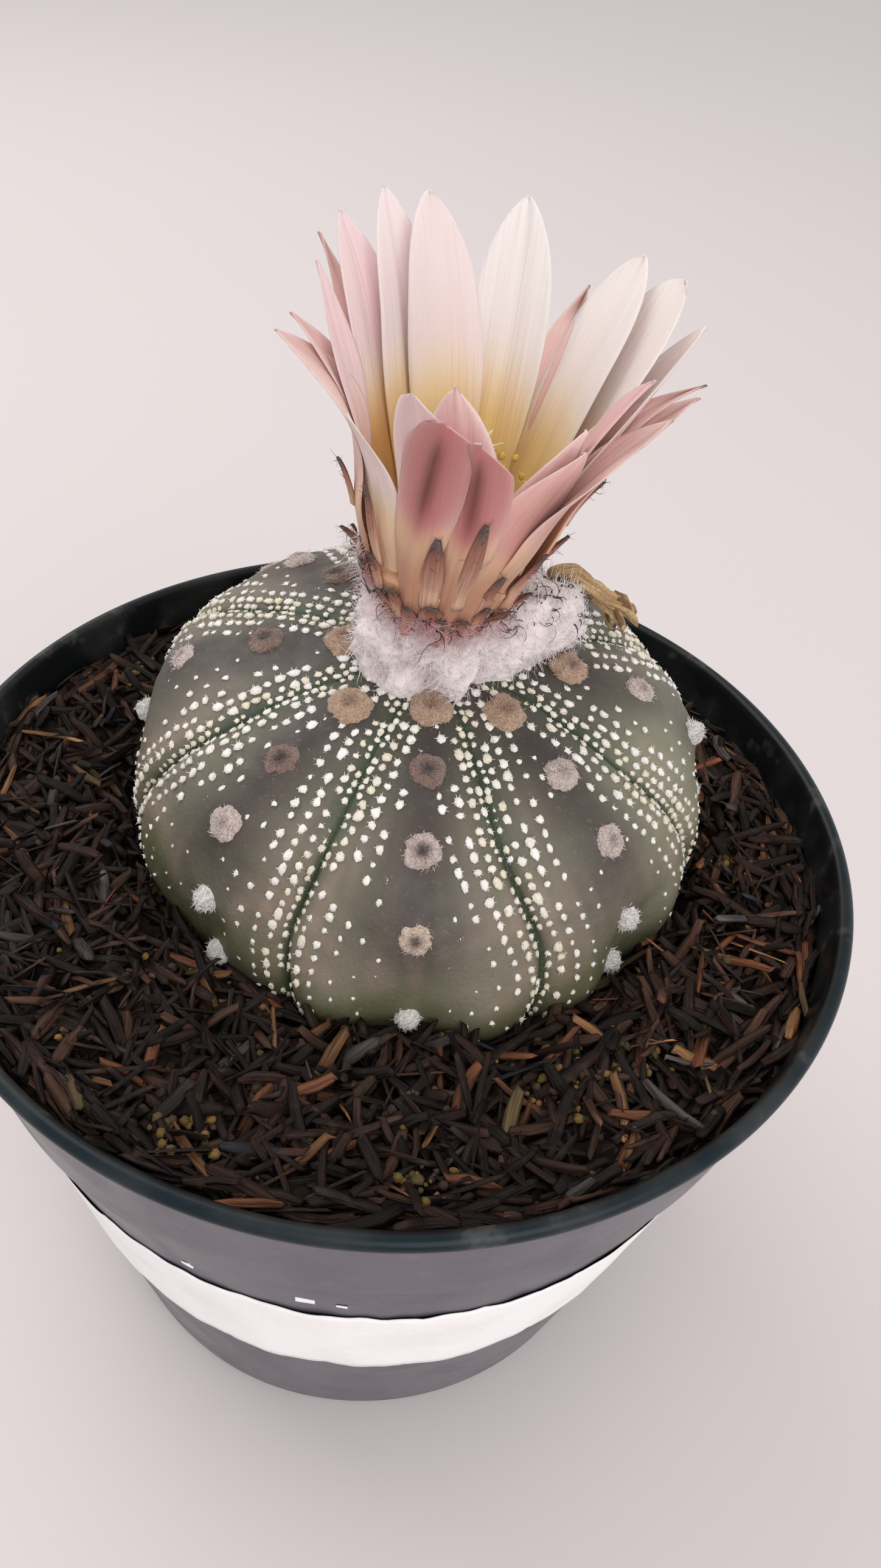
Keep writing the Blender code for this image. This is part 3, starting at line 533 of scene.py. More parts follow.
tint = kinds_drawn(draw, HUSK_KINDS, count) * draw.uniform(0.75, 1.3, (count, 1))
# Husks lower in the layer are darker. Painted light: husks towards the right, from x = 15 to 60 mm, are
# painted lighter, as if more light fell on them.
tint = tint * (0.50 + 0.60 * layer + 0.55 * ease(15, 60, x))[:, None]
tint = np.repeat(tint[:, None], 4 * 6 + 2, axis=1)
tint[:, :6] *= draw.uniform(0.7, 2.2, (count, 1, 1))
run = points_of((HUSK_STEPS * length)[..., None], sideways[..., ::-1], 0.0)
ends = points_of(length * (-0.5, 0.5), 0.0, 0.0)
run = np.concatenate([run.reshape(count, -1, 3), ends], axis=1)
run[..., 2] = draw.uniform(0, 90, (count, 1))

husk_finish, tree, shader = new_finish("rice_husk", 0.60, shine=0.16)
ridges = noise_of(tree, 0.55, 3.0, (0.09, 1.6, 1.0), on_run=True)
blotch = range_of(tree, noise_of(tree, 0.003, 4.0), 0.55, 0.8, 0.0, 0.30)
streaked = tinted(tree, range_of(tree, ridges, 0.35, 0.7, 0.0, 0.75), (0.008, 0.005, 0.004))
set_colour(tree, shader, mixed(tree, blotch, streaked, (0.13, 0.075, 0.045)))
add_bump(tree, shader, ridges, 0.0005)
husks = new_piece("rice_husks", husk_surface, husk_finish, tint.reshape(-1, 3), run.reshape(-1, 3))
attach(husks, "root")


def lumps(centres, sizes, around, levels, widths, seed):
    """Small uneven grains: rings at levels along Z with drawn widths, closed by poles."""
    draw = np.random.default_rng(seed)
    count, rows = len(centres), len(levels)
    turn = all_round(around) + draw.uniform(0, 6, (count, 1, 1))
    radius = np.array(widths)[None, :, None] * draw.uniform(0.72, 1.25, (count, rows, around))
    height = np.array(levels)[None, :, None] + draw.uniform(-0.12, 0.12, (count, rows, around))
    shape = points_of(radius * np.cos(turn), radius * np.sin(turn), height)
    size = sizes[:, None]
    pole = np.array([0, 0, 1.0]) * size
    return centres[:, None, None] + shape * size[:, None, None], centres - pole * 0.9, centres + pole * 0.95


heaps = [draw.normal(0, 1, (number, 2)) * spread / 2 + (x, y) for x, y, spread, number in CRUMB_HEAPS]
places = np.concatenate([*heaps, scattered(130, 63)])
places = places[(np.hypot(*places.T) < 70) & (from_plant(*places.T) > 0.5)]
count = len(places)
sizes = draw.uniform(0.25, 0.85, count)
centres = points_of(*places.T, soil_level(*places.T) + draw.uniform(0.4, 1.6, count))
tint = kinds_drawn(draw, CRUMB_KINDS, count) * draw.uniform(0.6, 1.2, (count, 1))
crumb_surface = closed_tubes(*lumps(centres, sizes, 7, (-0.55, 0.0, 0.55), (0.75, 1.0, 0.7), 64))
crumb_finish = grained_finish(
    "mossy_crumb", 0.9, (0.0006, 4.0), (0.35, 0.7, 0.0, 0.5), (0.05, 0.035, 0.02), depth=0.0004, shine=0.2
)
crumb_piece = new_piece("mossy_crumbs", crumb_surface, crumb_finish, np.repeat(tint, 3 * 7 + 2, axis=0))
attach(crumb_piece, "root")

# Plant's skin
# A squat body of eight broad, nearly flat ribs with a narrow furrow between each two. The skin
# is waxy and grey-green, purple-brown along the crests, browner low down and green at its foot.

BODY_CROWN = 24.6
BODY_BELLY = 37.2
BODY_SAG = 3.0
ROUND_POWER = 0.84
FLAT_POWER = 0.89
LOW_POWER = 0.55
RIB_COUNT = 8
RIB_FALL = 0.03
GROOVE_DEPTH = 0.035
GROOVE_WIDTH = 0.045
CREASE_DEPTH = 0.7
CREASE_WIDTH = 0.013
# For each rib: degrees by which its crest, and the furrow on its right seen from outside, leave the
# even steps, by which that furrow bends on its way down and near the foot, and how much the lobe at
# the rib's foot swells
CREST_SHIFT = np.array([1.0, 0.9, 2.2, 0.0, 0.0, -2.2, -3.9, 1.2])
FURROW_SHIFT = np.array([-2.9, -4.6, 0.0, 0.0, 0.0, 1.0, 3.6, 2.0])
FURROW_TWIST = np.array([7.5, 9.0, 4.0, 0.0, 0.0, -3.0, -8.0, -3.0])
FURROW_RETURN = np.array([-5.5, -1.5, 0.0, 0.0, 0.0, 0.0, 1.0, 4.5])
LOBE_SWELL = np.array([0.024, 0.050, 0.020, 0.018, 0.018, 0.018, 0.020, 0.024])
# Direction in degrees of a fuller or leaner place on the sides, how far down, and by how much
UNEVEN_SIDES = (
    (-165, 1.0, 1.6), (-150, 1.0, 1.1), (-135, 1.0, -2.6), (-105, 1.0, 3.8), (-90, 1.0, -1.6),
    (-75, 1.0, 3.7), (-60, 1.0, 1.6), (-45, 1.0, -2.9), (-15, 1.0, 1.8), (0, 1.0, -1.2),
    (180, 1.0, -1.6), (157, 0.72, 2.6), (17, 0.72, 1.3),
)
UNEVEN_WIDTH = 13.0
UNEVEN_DEPTH = 0.16
RIB_COLUMNS = 34
SKIN_ROWS = 128
SKIN_END = 1.58
SKIN_COLOUR = (0.205, 0.186, 0.135)
# Rib, how far down its crest the areoles stand, and which of the kinds below each one is
AREOLES = (
    (0, (0.122, 0.272, 0.468, 0.705, 0.975), (0, 1, 2, 3, 5)),
    (7, (0.19, 0.386, 0.609, 0.86, 1.06), (0, 1, 4, 5, 5)),
    (6, (0.148, 0.327, 0.590, 0.90), (0, 1, 4, 5)),
    (1, (0.172, 0.356, 0.57, 0.83, 1.04), (0, 4, 4, 5, 5)),
    (2, (0.251, 0.461, 0.716, 1.01), (0, 4, 5, 5)),
    (5, (0.137, 0.303, 0.489, 0.727, 1.02), (0, 1, 4, 3, 5)),
    (4, (0.144, 0.317, 0.518, 0.778, 1.06), (0, 1, 2, 3, 5)),
    (3, (0.155, 0.34, 0.556, 0.834, 1.07), (0, 1, 4, 3, 5)),
)
AREOLE_PLACES = np.array([place for _, places, _ in AREOLES for place in places])
AREOLE_RIBS = np.array([rib for rib, places, _ in AREOLES for _ in places])
# The low areoles of the ribs on both sides of the front one stand beside the crest
AREOLE_SIDE = 0.07 * (AREOLE_RIBS == 7) - 0.03 * (AREOLE_RIBS == 1)
AREOLE_SIDE = AREOLE_SIDE * (AREOLE_PLACES > 0.8) * (1 + (AREOLE_PLACES > 1))


def rib_angle(rib, across, down):
    """Direction of the line at a place across a rib: -0.5 and 0.5 are its furrows, 0 its crest."""
    side = np.where(across > 0, rib, rib - 1)
    crest = -90 + 45 * rib + CREST_SHIFT[rib % RIB_COUNT]
    furrow = -90 + 45 * (side + 0.5) + FURROW_SHIFT[side % RIB_COUNT]
    furrow = furrow + FURROW_TWIST[side % RIB_COUNT] * ease(0.40, 0.95, down)
    furrow = furrow + FURROW_RETURN[side % RIB_COUNT] * ease(0.80, 1.15, down)
    return np.radians(crest + np.abs(across) * 2 * (furrow - crest))


def skin_radius(down, rib, across):
    """Radius at a place on the skin: a squashed round, less the fall to the furrow and the groove."""
    fade = np.minimum(1, down / 0.3) * np.clip((1.6 - down) / 0.3, 0, 1)
    fall = (1 - np.cos(2 * np.pi * across)) / 2
    edge = 0.5 - np.abs(across)
    crease = bell(edge / CREASE_WIDTH) * np.minimum(1, down / 0.5) * fade
    lobe = (1 - np.cos(4 * np.pi * across)) / 2 * bell((down - 1.05) / 0.2)
    share = 1 - fade * (RIB_FALL * fall + GROOVE_DEPTH * bell(edge / GROOVE_WIDTH)) + LOBE_SWELL[rib] * lobe
    power = np.where(down > 1, LOW_POWER, ROUND_POWER)
    radius = BODY_RADIUS * np.abs(np.sin(down * np.pi / 2)) ** power * share - CREASE_DEPTH * crease
    turn = np.degrees(rib_angle(rib, across, down))
    for direction, level, swell in UNEVEN_SIDES:
        away = ((turn - direction + 180) % 360 - 180) / UNEVEN_WIDTH
        radius = radius + swell * np.exp(-(away**2) - ((down - level) / UNEVEN_DEPTH) ** 2)
    return radius


def skin_point(down, rib, across, lift=0.0):
    """Point on the skin: down is 0 at the apex, 1 at the widest plane and more below it."""
    radius = skin_radius(down, rib, across) + lift * np.minimum(1, down / 0.2)
    rise = np.cos(down * np.pi / 2)
    crown = (BODY_CROWN + lift) * np.abs(rise) ** FLAT_POWER
    z = np.where(rise > 0, crown, (BODY_BELLY + lift) * rise) - BODY_SAG * ease(0.5, 1.0, down)
    turn = rib_angle(rib, across, down)
    return leaned(radius * np.cos(turn), radius * np.sin(turn), z)


def unit(vectors):
    """Vectors made one long."""
    return vectors / np.maximum(np.linalg.norm(vectors, axis=-1, keepdims=True), 1e-9)


def skin_frames(down, rib, across):
    """Points on the skin with their ways down, across and outwards."""
    step = 0.012
    centre = skin_point(down, rib, across)
    along = unit(skin_point(down + step, rib, across) - centre)
    inner = np.clip(across, -0.5 + step, 0.5 - step)
    sideways = unit(skin_point(down, rib, inner + step) - skin_point(down, rib, inner - step))
    outward = unit(np.cross(along, sideways))
    return centre, along, np.cross(outward, along), outward


def blended(tint, weight, colour):
    """Colours moved towards one colour by a weight per point."""
    weight = np.clip(weight, 0, 1)[..., None]
    return tint * (1 - weight) + np.array(colour) * weight


def painted(shape, base, *coats):
    """Colours for a shape of points: a base colour under coats, each a weight per point and a colour."""
    tint = np.broadcast_to(np.array(base), (*shape, 3))
    for weight, colour in coats:
        tint = blended(tint, weight, colour)
    return tint


steady = (np.arange(RIB_COLUMNS) / RIB_COLUMNS) - 0.5
columns_across = np.tile(steady - 0.045 * np.sin(4 * np.pi * steady), RIB_COUNT)
columns_rib = np.repeat(np.arange(RIB_COUNT), RIB_COLUMNS)
down = np.linspace(0.02, SKIN_END, SKIN_ROWS)[::-1, None] + 0 * columns_across
across = columns_across + 0 * down
rib = columns_rib + 0 * down.astype(int)
plain = skin_point(down, rib, across)
centres = skin_point(AREOLE_PLACES, AREOLE_RIBS, AREOLE_SIDE)
to_areole = np.full(down.shape, 1e3)
for centre in centres:
    to_areole = np.minimum(to_areole, np.linalg.norm(plain - centre, axis=-1))
lift = 0.16 * soft_noise(plain, 9.0, 71) + 0.07 * soft_noise(plain, 3.5, 72)
lift += 0.55 * bell(to_areole / 4.2)
lift *= ease(0.05, 0.25, down)
rings = skin_point(down, rib, across, lift)
root_turn = rib_angle(columns_rib, columns_across, SKIN_END)
root_radii = np.array([8.0, 16.0])[:, None]
root_depths = np.array([-60.0, -43.0])[:, None]
root = leaned(root_radii * np.cos(root_turn), root_radii * np.sin(root_turn), root_depths)
rings = np.concatenate([root, rings])[None]
skin_surface = closed_tubes(rings, leaned(0.0, 0.0, -70.0)[None], leaned(0.0, 0.0, BODY_CROWN)[None])

patch = soft_noise(plain, 16.0, 73)
fine = soft_noise(plain, 6.0, 74)
streak = soft_noise(points_of(across * 30 + rib * 9, down * 4), 3.0, 75)
edge = 0.5 - np.abs(across)
facing = np.degrees(rib_angle(rib, across, down))
browned = ease(-0.4, 1.2, 0.6 * patch + 0.8 * streak)
crest = bell(across / (0.19 + 0.17 * down)) * (1 - ease(0.62, 1.0, down))
furrow = bell(edge / 0.12) * (1 - ease(0.35, 0.75, down))
stripes = bell((edge - 0.13) / 0.07) * ease(0.55, 0.85, down) * ease(-0.9, 0.6, fine)
# Painted highlight: a lighter patch on the skin facing about -12 degrees, to the right, between down 0.3
# and 1.05.
painted_highlight = bell((facing + 12) / 24) * ease(0.30, 0.55, down) * (1 - ease(0.85, 1.05, down))
foot = ease(0.82, 1.0, down + 0.05 * patch)
mossy = ease(0.75, 1.05, down) * ease(0.1, 1.2, patch) * ease(0.1, 0.3, edge)
halo = bell(to_areole / 5.0) * (1 - ease(0.7, 0.95, down))
tint = painted(
    down.shape,
    SKIN_COLOUR,
    (0.60 * browned, (0.335, 0.255, 0.205)),
    (1 - ease(0.15, 0.60, down), (0.072, 0.070, 0.054)),
    (0.85 * crest, (0.048, 0.036, 0.036)),
    (0.85 * furrow, (0.036, 0.056, 0.036)),
    (0.7 * stripes, (0.290, 0.205, 0.160)),
    (0.45 * painted_highlight, (0.350, 0.345, 0.245)),
    (0.82 * foot, (0.078, 0.080, 0.036)),
    (0.6 * mossy, (0.120, 0.128, 0.062)),
    (0.4 * halo, (0.060, 0.048, 0.046)),
    (0.95 * bell(edge / 0.019), (0.014, 0.040, 0.011)),
    (0.85 * bell(edge / 0.05) * ease(1.0, 1.15, down), (0.035, 0.11, 0.016)),
)
root_tint = np.full((root.shape[0] * root.shape[1], 3), 0.06)
tint = np.concatenate([root_tint, tint.reshape(-1, 3), [(0.06, 0.06, 0.06), (0.06, 0.08, 0.06)]])

skin_finish, tree, shader = new_finish("cactus_skin", 0.5, shine=0.4, glow=0.1, reach=0.001)
dots = range_of(tree, noise_of(tree, 0.0009, 2.0), 0.62, 0.72, 0.0, 0.28)
clouds = range_of(tree, noise_of(tree, 0.0045, 4.0), 0.35, 0.7, 0.0, 0.38)
darker = mixed(tree, 1.0, attribute_of(tree, "tint"), (0.70, 0.74, 0.68), "MULTIPLY")
mottled = mixed(tree, clouds, attribute_of(tree, "tint"), darker)
set_colour(tree, shader, mixed(tree, dots, mottled, (0.20, 0.19, 0.15)))
tree.links.new(range_of(tree, noise_of(tree, 0.003, 3.0), 0.3, 0.7, 0.42, 0.62), shader.inputs["Roughness"])
add_bump(tree, shader, noise_of(tree, 0.0007, 4.0), 0.00012)
skin = new_piece("ribbed_skin", skin_surface, skin_finish, tint)
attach(skin, "root")
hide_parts("cactus_body")

# White flecks
# Tufts of white wool hair stand on the skin in rows that follow each furrow. They are widest and
# creamy beside the furrow, and get small and few towards the crest and low down.

# Distance from the furrow, spacing, radius and the share that is there
FLECK_ROWS = (
    (0.95, 1.60, 0.50, 0.85),
    (2.7, 2.05, 0.64, 0.88),
    (5.3, 2.1, 0.68, 0.88),
    (8.5, 2.3, 0.60, 0.82),
    (11.8, 3.0, 0.47, 0.66),
    (15.0, 3.8, 0.38, 0.48),
    (18.0, 4.6, 0.34, 0.42),
)
FLECK_AROUND = 7
# Heights and widths of a fleck's rings, as shares of its radius
FLECK_LEVELS = np.array([-0.35, 0.28, 0.52])
FLECK_WIDTHS = np.array([0.86, 0.96, 0.56])
FLECK_CREAM = (0.86, 0.78, 0.60)
FLECK_WHITE = (1.0, 0.965, 0.945)
CLEAR_OF_AREOLE = 3.1
FUZZ_EACH = 5


def hair_tubes(roots, ways, sides, lengths, thickness, curl, rows, seed):
    """Tapered three-sided hairs: each path leaves its root along its way and curls towards its side."""
    draw = np.random.default_rng(seed)
    count = len(roots)
    lengths, thickness, curl = (np.broadcast_to(number, count) for number in (lengths, thickness, curl))
    step = np.linspace(0, 1, rows)[None, :]
    bend = (curl * draw.uniform(0.4, 1.2, count))[:, None] * step + 1e-6
    third = unit(np.cross(ways, sides))
    twist = draw.uniform(-0.25, 0.25, (count, 1)) * bend * step
    reach = lengths[:, None]
    path = roots[:, None] + ways[:, None] * (reach * np.sin(bend) / bend * step)[..., None]
    path = path + sides[:, None] * (reach * (1 - np.cos(bend)) / bend * step)[..., None]
    path = path + third[:, None] * (reach * twist)[..., None]
    turn = np.array([0, 2.1, 4.2])
    radius = thickness[:, None] * (1 - 0.6 * step)
    ring = sides[:, None, None] * np.cos(turn)[:, None] + third[:, None, None] * np.sin(turn)[:, None]
    rings = path[:, :, None] + ring * radius[..., None, None]
    tip = path[:, -1] + (path[:, -1] - path[:, -2]) * 0.3
    return rings, roots - ways * 0.05, tip


def hair_piece(name, finish, tint, *hairs):
    """Piece of many hairs, with a colour for each hair or none; the hairs are the values of hair_tubes."""
    rings, roots, tips = hair_tubes(*hairs)
    if tint is not None:
        tint = np.repeat(tint, rings.shape[1] * rings.shape[2] + 2, axis=0)
    return new_piece(name, closed_tubes(rings, roots, tips), finish, tint)


def fleck_places(seed):
    """Places of the flecks row by row: equal steps down the rib, less drawn gaps, with their sizes."""
    draw = np.random.default_rng(seed)
    found = []
    path = np.linspace(0.10, 1.42, 300)
    for half in range(2 * RIB_COUNT):
        ribs = np.full(path.shape, half // 2)
        side = 1 if half % 2 else -1
        line = skin_point(path, ribs, np.full(path.shape, 0.25 * side))
        length = np.concatenate([[0], np.cumsum(np.linalg.norm(np.diff(line, axis=0), axis=1))])
        half_angle = np.abs(rib_angle(ribs, 0 * path + 0.5 * side, path) - rib_angle(ribs, 0 * path, path))
        half_width = np.abs(np.sin(path * np.pi / 2)) ** ROUND_POWER * BODY_RADIUS * half_angle
        for row, (distance, spacing, radius, chance) in enumerate(FLECK_ROWS):
            stops = np.arange(draw.uniform(0, spacing), length[-1], spacing)
            count = len(stops)
            stops = stops + draw.normal(0, 0.09 * spacing, count)
            place = np.interp(stops, length, path)
            away = distance * (0.70 + 0.30 * np.minimum(place, 1.0)) + draw.normal(0, 0.11, count)
            share = away / np.interp(place, path, half_width)
            low = ease(0.85, 1.25, place)
            size = radius * draw.uniform(0.75, 1.22, count) * (1 - 0.35 * low)
            size = size * (1 - 0.36 * ease(0.5, 0.9, place) * (row > 1))
            there = draw.random(count) < chance * (1 - 0.55 * low * (row > 1))
            there &= (share < 0.9) & (place < 1.36)
            found.append(points_of(place, half // 2, side * (0.5 - 0.5 * share), size, row)[there])
    return np.concatenate(found)


places = fleck_places(81)
draw = np.random.default_rng(82)
centre, along, sideways, outward = skin_frames(places[:, 0], places[:, 1].astype(int), places[:, 2])
near = np.min(np.linalg.norm(centre[:, None] - centres, axis=-1), axis=1)
above_mix = centre[:, 2] > soil_level(centre[:, 0], centre[:, 1]) - 1.0
kept = (near > CLEAR_OF_AREOLE) & above_mix
places, centre = places[kept], centre[kept]
along, sideways, outward = along[kept], sideways[kept], outward[kept]
count = len(places)
size = places[:, 3:4]
turn = all_round(FLECK_AROUND) + draw.uniform(0, 6, (count, 1))
longer = draw.uniform(0.95, 1.5, (count, 1))
reach = size * draw.uniform(0.74, 1.24, (count, FLECK_AROUND))
flat = along[:, None] * (reach * longer * np.cos(turn))[..., None]
flat = flat + sideways[:, None] * (reach * np.sin(turn))[..., None]
rise = FLECK_LEVELS[:, None] + draw.uniform(-0.07, 0.10, (count, 3, FLECK_AROUND))
rings = centre[:, None, None] + flat[:, None] * FLECK_WIDTHS[:, None, None]
rings = rings + outward[:, None, None] * (size[..., None] * rise)[..., None]
fleck_surface = closed_tubes(rings, centre - outward * 0.4, centre + outward * size * 0.62)
creamy = np.where(places[:, 4] < 1.5, draw.uniform(0.2, 1.0, count), draw.uniform(0, 0.3, count))
tint = painted((count,), FLECK_WHITE, (creamy, FLECK_CREAM)) * draw.uniform(0.90, 1.04, (count, 1))
lint = ((0.0003, 2.0), (0.3, 0.6, 0.0, 0.12), (0.62, 0.56, 0.50))
fleck_finish = grained_finish("white_tuft", 0.95, *lint, depth=0.0003, sheen=0.25, glow=0.15, reach=0.001)
fleck_tint = np.repeat(tint, 3 * FLECK_AROUND + 2, axis=0)
flecks = new_piece("white_flecks", fleck_surface, fleck_finish, fleck_tint)
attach(flecks, "root")

owner = np.repeat(np.arange(count), FUZZ_EACH)
along, sideways, outward, size = (part[owner] for part in (along, sideways, outward, size))
spoke_turn = draw.uniform(0, 2 * np.pi, (len(owner), 1))
spoke = along * np.cos(spoke_turn) + sideways * np.sin(spoke_turn)
roots = centre[owner] + spoke * (0.55 * size) + outward * (0.35 * size)
ways = unit(spoke + outward * draw.uniform(0.0, 0.9, (len(owner), 1)))
size = size[:, 0]
lengths = size * draw.uniform(0.5, 0.85, len(owner))
fuzz = (roots, ways, outward, lengths, 0.16 * size, 0.0, 2, 83)
fuzz_piece = hair_piece("fleck_fuzz", fleck_finish, tint[owner], *fuzz)
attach(fuzz_piece, "root")

# Areoles
# Felted round cushions stand along each crest. The young ones near the top are tan and full, the
# next brown with a dark middle, the old ones pale rings or pads, and the lowest white tufts.

# Radius, height, felt colour, middle's colour and how much of the middle shows
AREOLE_KINDS = (
    (3.30, 2.2, (0.66, 0.45, 0.32), (0.30, 0.16, 0.10), 0.7),
    (2.85, 1.7, (0.34, 0.22, 0.18), (0.05, 0.032, 0.030), 0.95),
    (2.80, 1.6, (0.86, 0.70, 0.66), (0.09, 0.06, 0.06), 1.0),
    (2.40, 1.4, (0.92, 0.74, 0.62), (0.14, 0.09, 0.09), 0.95),
    (2.60, 1.7, (0.84, 0.71, 0.67), (0.36, 0.28, 0.27), 0.6),
    (2.10, 2.6, (1.0, 0.97, 0.94), (1.0, 0.96, 0.92), 0.0),
)
DOME_AROUND = 36
DOME_ROWS = 12
DENT_DEPTH = 0.38
DENT_WIDTH = 0.38
HAIRS_EACH = 110

kind = np.array([kind for _, _, kinds in AREOLES for kind in kinds])
centre, along, sideways, outward = skin_frames(AREOLE_PLACES, AREOLE_RIBS, AREOLE_SIDE)
count = len(kind)
radii, heights, felt, dark, hollow = (np.array(column)[kind] for column in zip(*AREOLE_KINDS))
radius, height, hollowed = (column[:, None, None] for column in (radii, heights, hollow))
bend = np.linspace(-0.12, 1.0, DOME_ROWS)[:, None] * np.pi / 2
turn = all_round(DOME_AROUND)
share = np.cos(bend)
rise = np.sin(bend)
offset = np.arange(count)[:, None, None] * 17.0
ragged = points_of(np.cos(turn) * 3 + offset, np.sin(turn) * 3, rise * 2)
uneven = 1 + 0.07 * soft_noise(ragged, 2.2, 91) + 0.05 * soft_noise(ragged, 0.9, 92)
tall = height * (rise * uneven - DENT_DEPTH * hollowed * bell(share / DENT_WIDTH))
spokes = along[:, None, None] * np.cos(turn)[:, None] + sideways[:, None, None] * np.sin(turn)[:, None]
rings = centre[:, None, None] + (radius * share * uneven)[..., None] * spokes
rings = (rings + outward[:, None, None] * (tall - 0.1)[..., None])[:, :-1]
poles = centre + outward * (heights * (1 - DENT_DEPTH * hollow) - 0.1)[:, None]
dome_surface = closed_tubes(rings, centre - outward * 0.8, poles)
streak = soft_noise(points_of(turn * 6 + offset, share * 1.2), 1.3, 93)
middle = np.clip(hollowed * (1.15 * bell(share / 0.45) + 0.25 * streak), 0, 1)[..., None]
tint = felt[:, None, None] * (1 - middle) + dark[:, None, None] * middle
tint = (tint * (1 + 0.16 * streak)[..., None])[:, :-1]
top_tint = dark * hollow[:, None] + felt * (1 - hollow[:, None])
tint = np.concatenate([tint.reshape(count, -1, 3), felt[:, None], top_tint[:, None]], axis=1)

felt_finish, tree, shader = new_finish("areole_felt", 1.0, sheen=0.35)
lint = noise_of(tree, 0.00035, 4.0)
shaded = mixed(tree, 1.0, attribute_of(tree, "tint"), (0.60, 0.56, 0.54), "MULTIPLY")
lit = mixed(tree, range_of(tree, lint, 0.35, 0.65), shaded, attribute_of(tree, "tint"))
set_colour(tree, shader, lit)
add_bump(tree, shader, lint, 0.0008)
domes = new_piece("areole_cushions", dome_surface, felt_finish, tint.reshape(-1, 3))
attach(domes, "root")

draw = np.random.default_rng(94)
owner = np.repeat(np.arange(count), HAIRS_EACH)
centre, along, sideways, outward = (part[owner] for part in (centre, along, sideways, outward))
angle = draw.uniform(0, 2 * np.pi, (len(owner), 1))
tilt = np.arccos(draw.uniform(0.0, 1.0, len(owner)))
spoke = along * np.cos(angle) + sideways * np.sin(angle)
fall = 1 - hollow[owner] * DENT_DEPTH * bell(np.sin(tilt) / DENT_WIDTH)
roots = centre + spoke * (radii[owner] * np.sin(tilt) * 0.96)[:, None]
roots = roots + outward * (heights[owner] * np.cos(tilt) * fall - 0.15)[:, None]
swirl = np.cross(outward, spoke) * draw.normal(0, 0.9, (len(owner), 1))
ways = unit(spoke * np.sin(tilt)[:, None] + outward * (np.cos(tilt) + 0.25)[:, None] + swirl)
sides = unit(np.cross(ways, outward + draw.normal(0, 0.3, (len(owner), 3))))
lengths = draw.uniform(0.45, 0.95, len(owner))
hair_dark = 1.2 * hollow[owner] * bell(np.sin(tilt) / 0.46)
tint = blended(felt[owner] * draw.uniform(0.6, 1.6, (len(owner), 1)), hair_dark, (0.12, 0.08, 0.075))
hair_grain = ((0.002, 2.0), (0.0, 1.0), (0.5, 0.42, 0.36))
hair_finish = grained_finish("felt_hair", 0.7, *hair_grain, way="SOFT_LIGHT", sheen=0.2)
hairs = (roots, ways, sides, lengths, 0.06, 1.9, 4, 95)
areole_hairs = hair_piece("areole_hairs", hair_finish, tint, *hairs)
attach(areole_hairs, "root")

# Wool on the crown
# A thick cushion of cotton-white wool grows from the crown round the flower's foot, with a longer
# lump under the withered flower. Fine strands stand off it, and dark curled bristles show in it.

FLOWER_FOOT = np.array([2.2, 8.4, 137.0])
FLOWER_AXIS = np.array([0.10, 0.0, 1.0]) / math.hypot(0.10, 1.0)
FLOWER_BACK = np.array([0.0, 1.0, 0.0])
FLOWER_SIDE = np.cross(FLOWER_BACK, FLOWER_AXIS)
TUBE_HEIGHTS = (-6.0, 4.0, 10.0, 14.0, 17.2)
TUBE_RADII = (8.1, 8.4, 9.5, 10.8, 11.9)
WOOL_RADIUS = 10.7
WOOL_HEIGHT = 12.2
WOOL_LUMP_REACH = 14.6
WOOL_LUMP_ANGLE = 25.0
WOOL_LUMP_WIDTH = 33.0
WOOL_AROUND = 120
WOOL_ROWS = 30
# Stops from deep in the body, over the top, to the tube, with how far out and how high the wool is
WOOL_STOPS = (0.0, 0.2, 0.35, 0.5, 0.65, 0.8, 0.92, 1.0)
WOOL_SHARES = (0.55, 0.76, 0.94, 1.0, 0.90, 0.60, 0.18, -0.06)
WOOL_LEVELS = (-1.4, -0.25, 0.2, 0.5, 0.80, 0.99, 1.02, 0.9)
# Direction in degrees, place and radius of a spot where the wool is red
RED_SPOTS = np.array([
    (-96, 0.88, 4.0), (-124, 0.88, 3.2), (-112, 0.78, 2.4), (-61, 0.90, 3.2),
    (-75, 0.93, 3.0), (-150, 0.90, 3.6), (-30, 0.94, 2.8),
])
STRAND_COUNT = 5500
BRISTLE_COUNT = 240


def flower_way(turn):
    """Ways out from the flower's leaning axis."""
    return np.cos(turn)[..., None] * FLOWER_SIDE + np.sin(turn)[..., None] * FLOWER_BACK


def flower_point(radius, turn, height):
    """Flower coordinates, round the leaning axis, to the part's own."""
    radius, turn, height = np.broadcast_arrays(radius, turn, height)
    return FLOWER_FOOT + flower_way(turn) * radius[..., None] + FLOWER_AXIS * height[..., None]


def axis_point(height):
    """Place on the flower's axis, as a row of one point."""
    return flower_point(0.0, 0.0, height)[None]


def tube_radius(height):
    """Outer radius of the flower tube."""
    return np.interp(height, TUBE_HEIGHTS, TUBE_RADII)


def degrees_from(turn, direction):
    """How far a turn is from a direction in degrees, either way round."""
    return (np.degrees(turn) - direction + 180) % 360 - 180


def wool_reach(turn):
    """Outer radius of the wool: a ring with a long lump on the side of the withered flower."""
    reach = WOOL_RADIUS + WOOL_LUMP_REACH * bell(degrees_from(turn, WOOL_LUMP_ANGLE) / WOOL_LUMP_WIDTH)
    return reach + 0.5 * np.sin(5 * turn + 1.0) + 0.4 * np.sin(9 * turn)


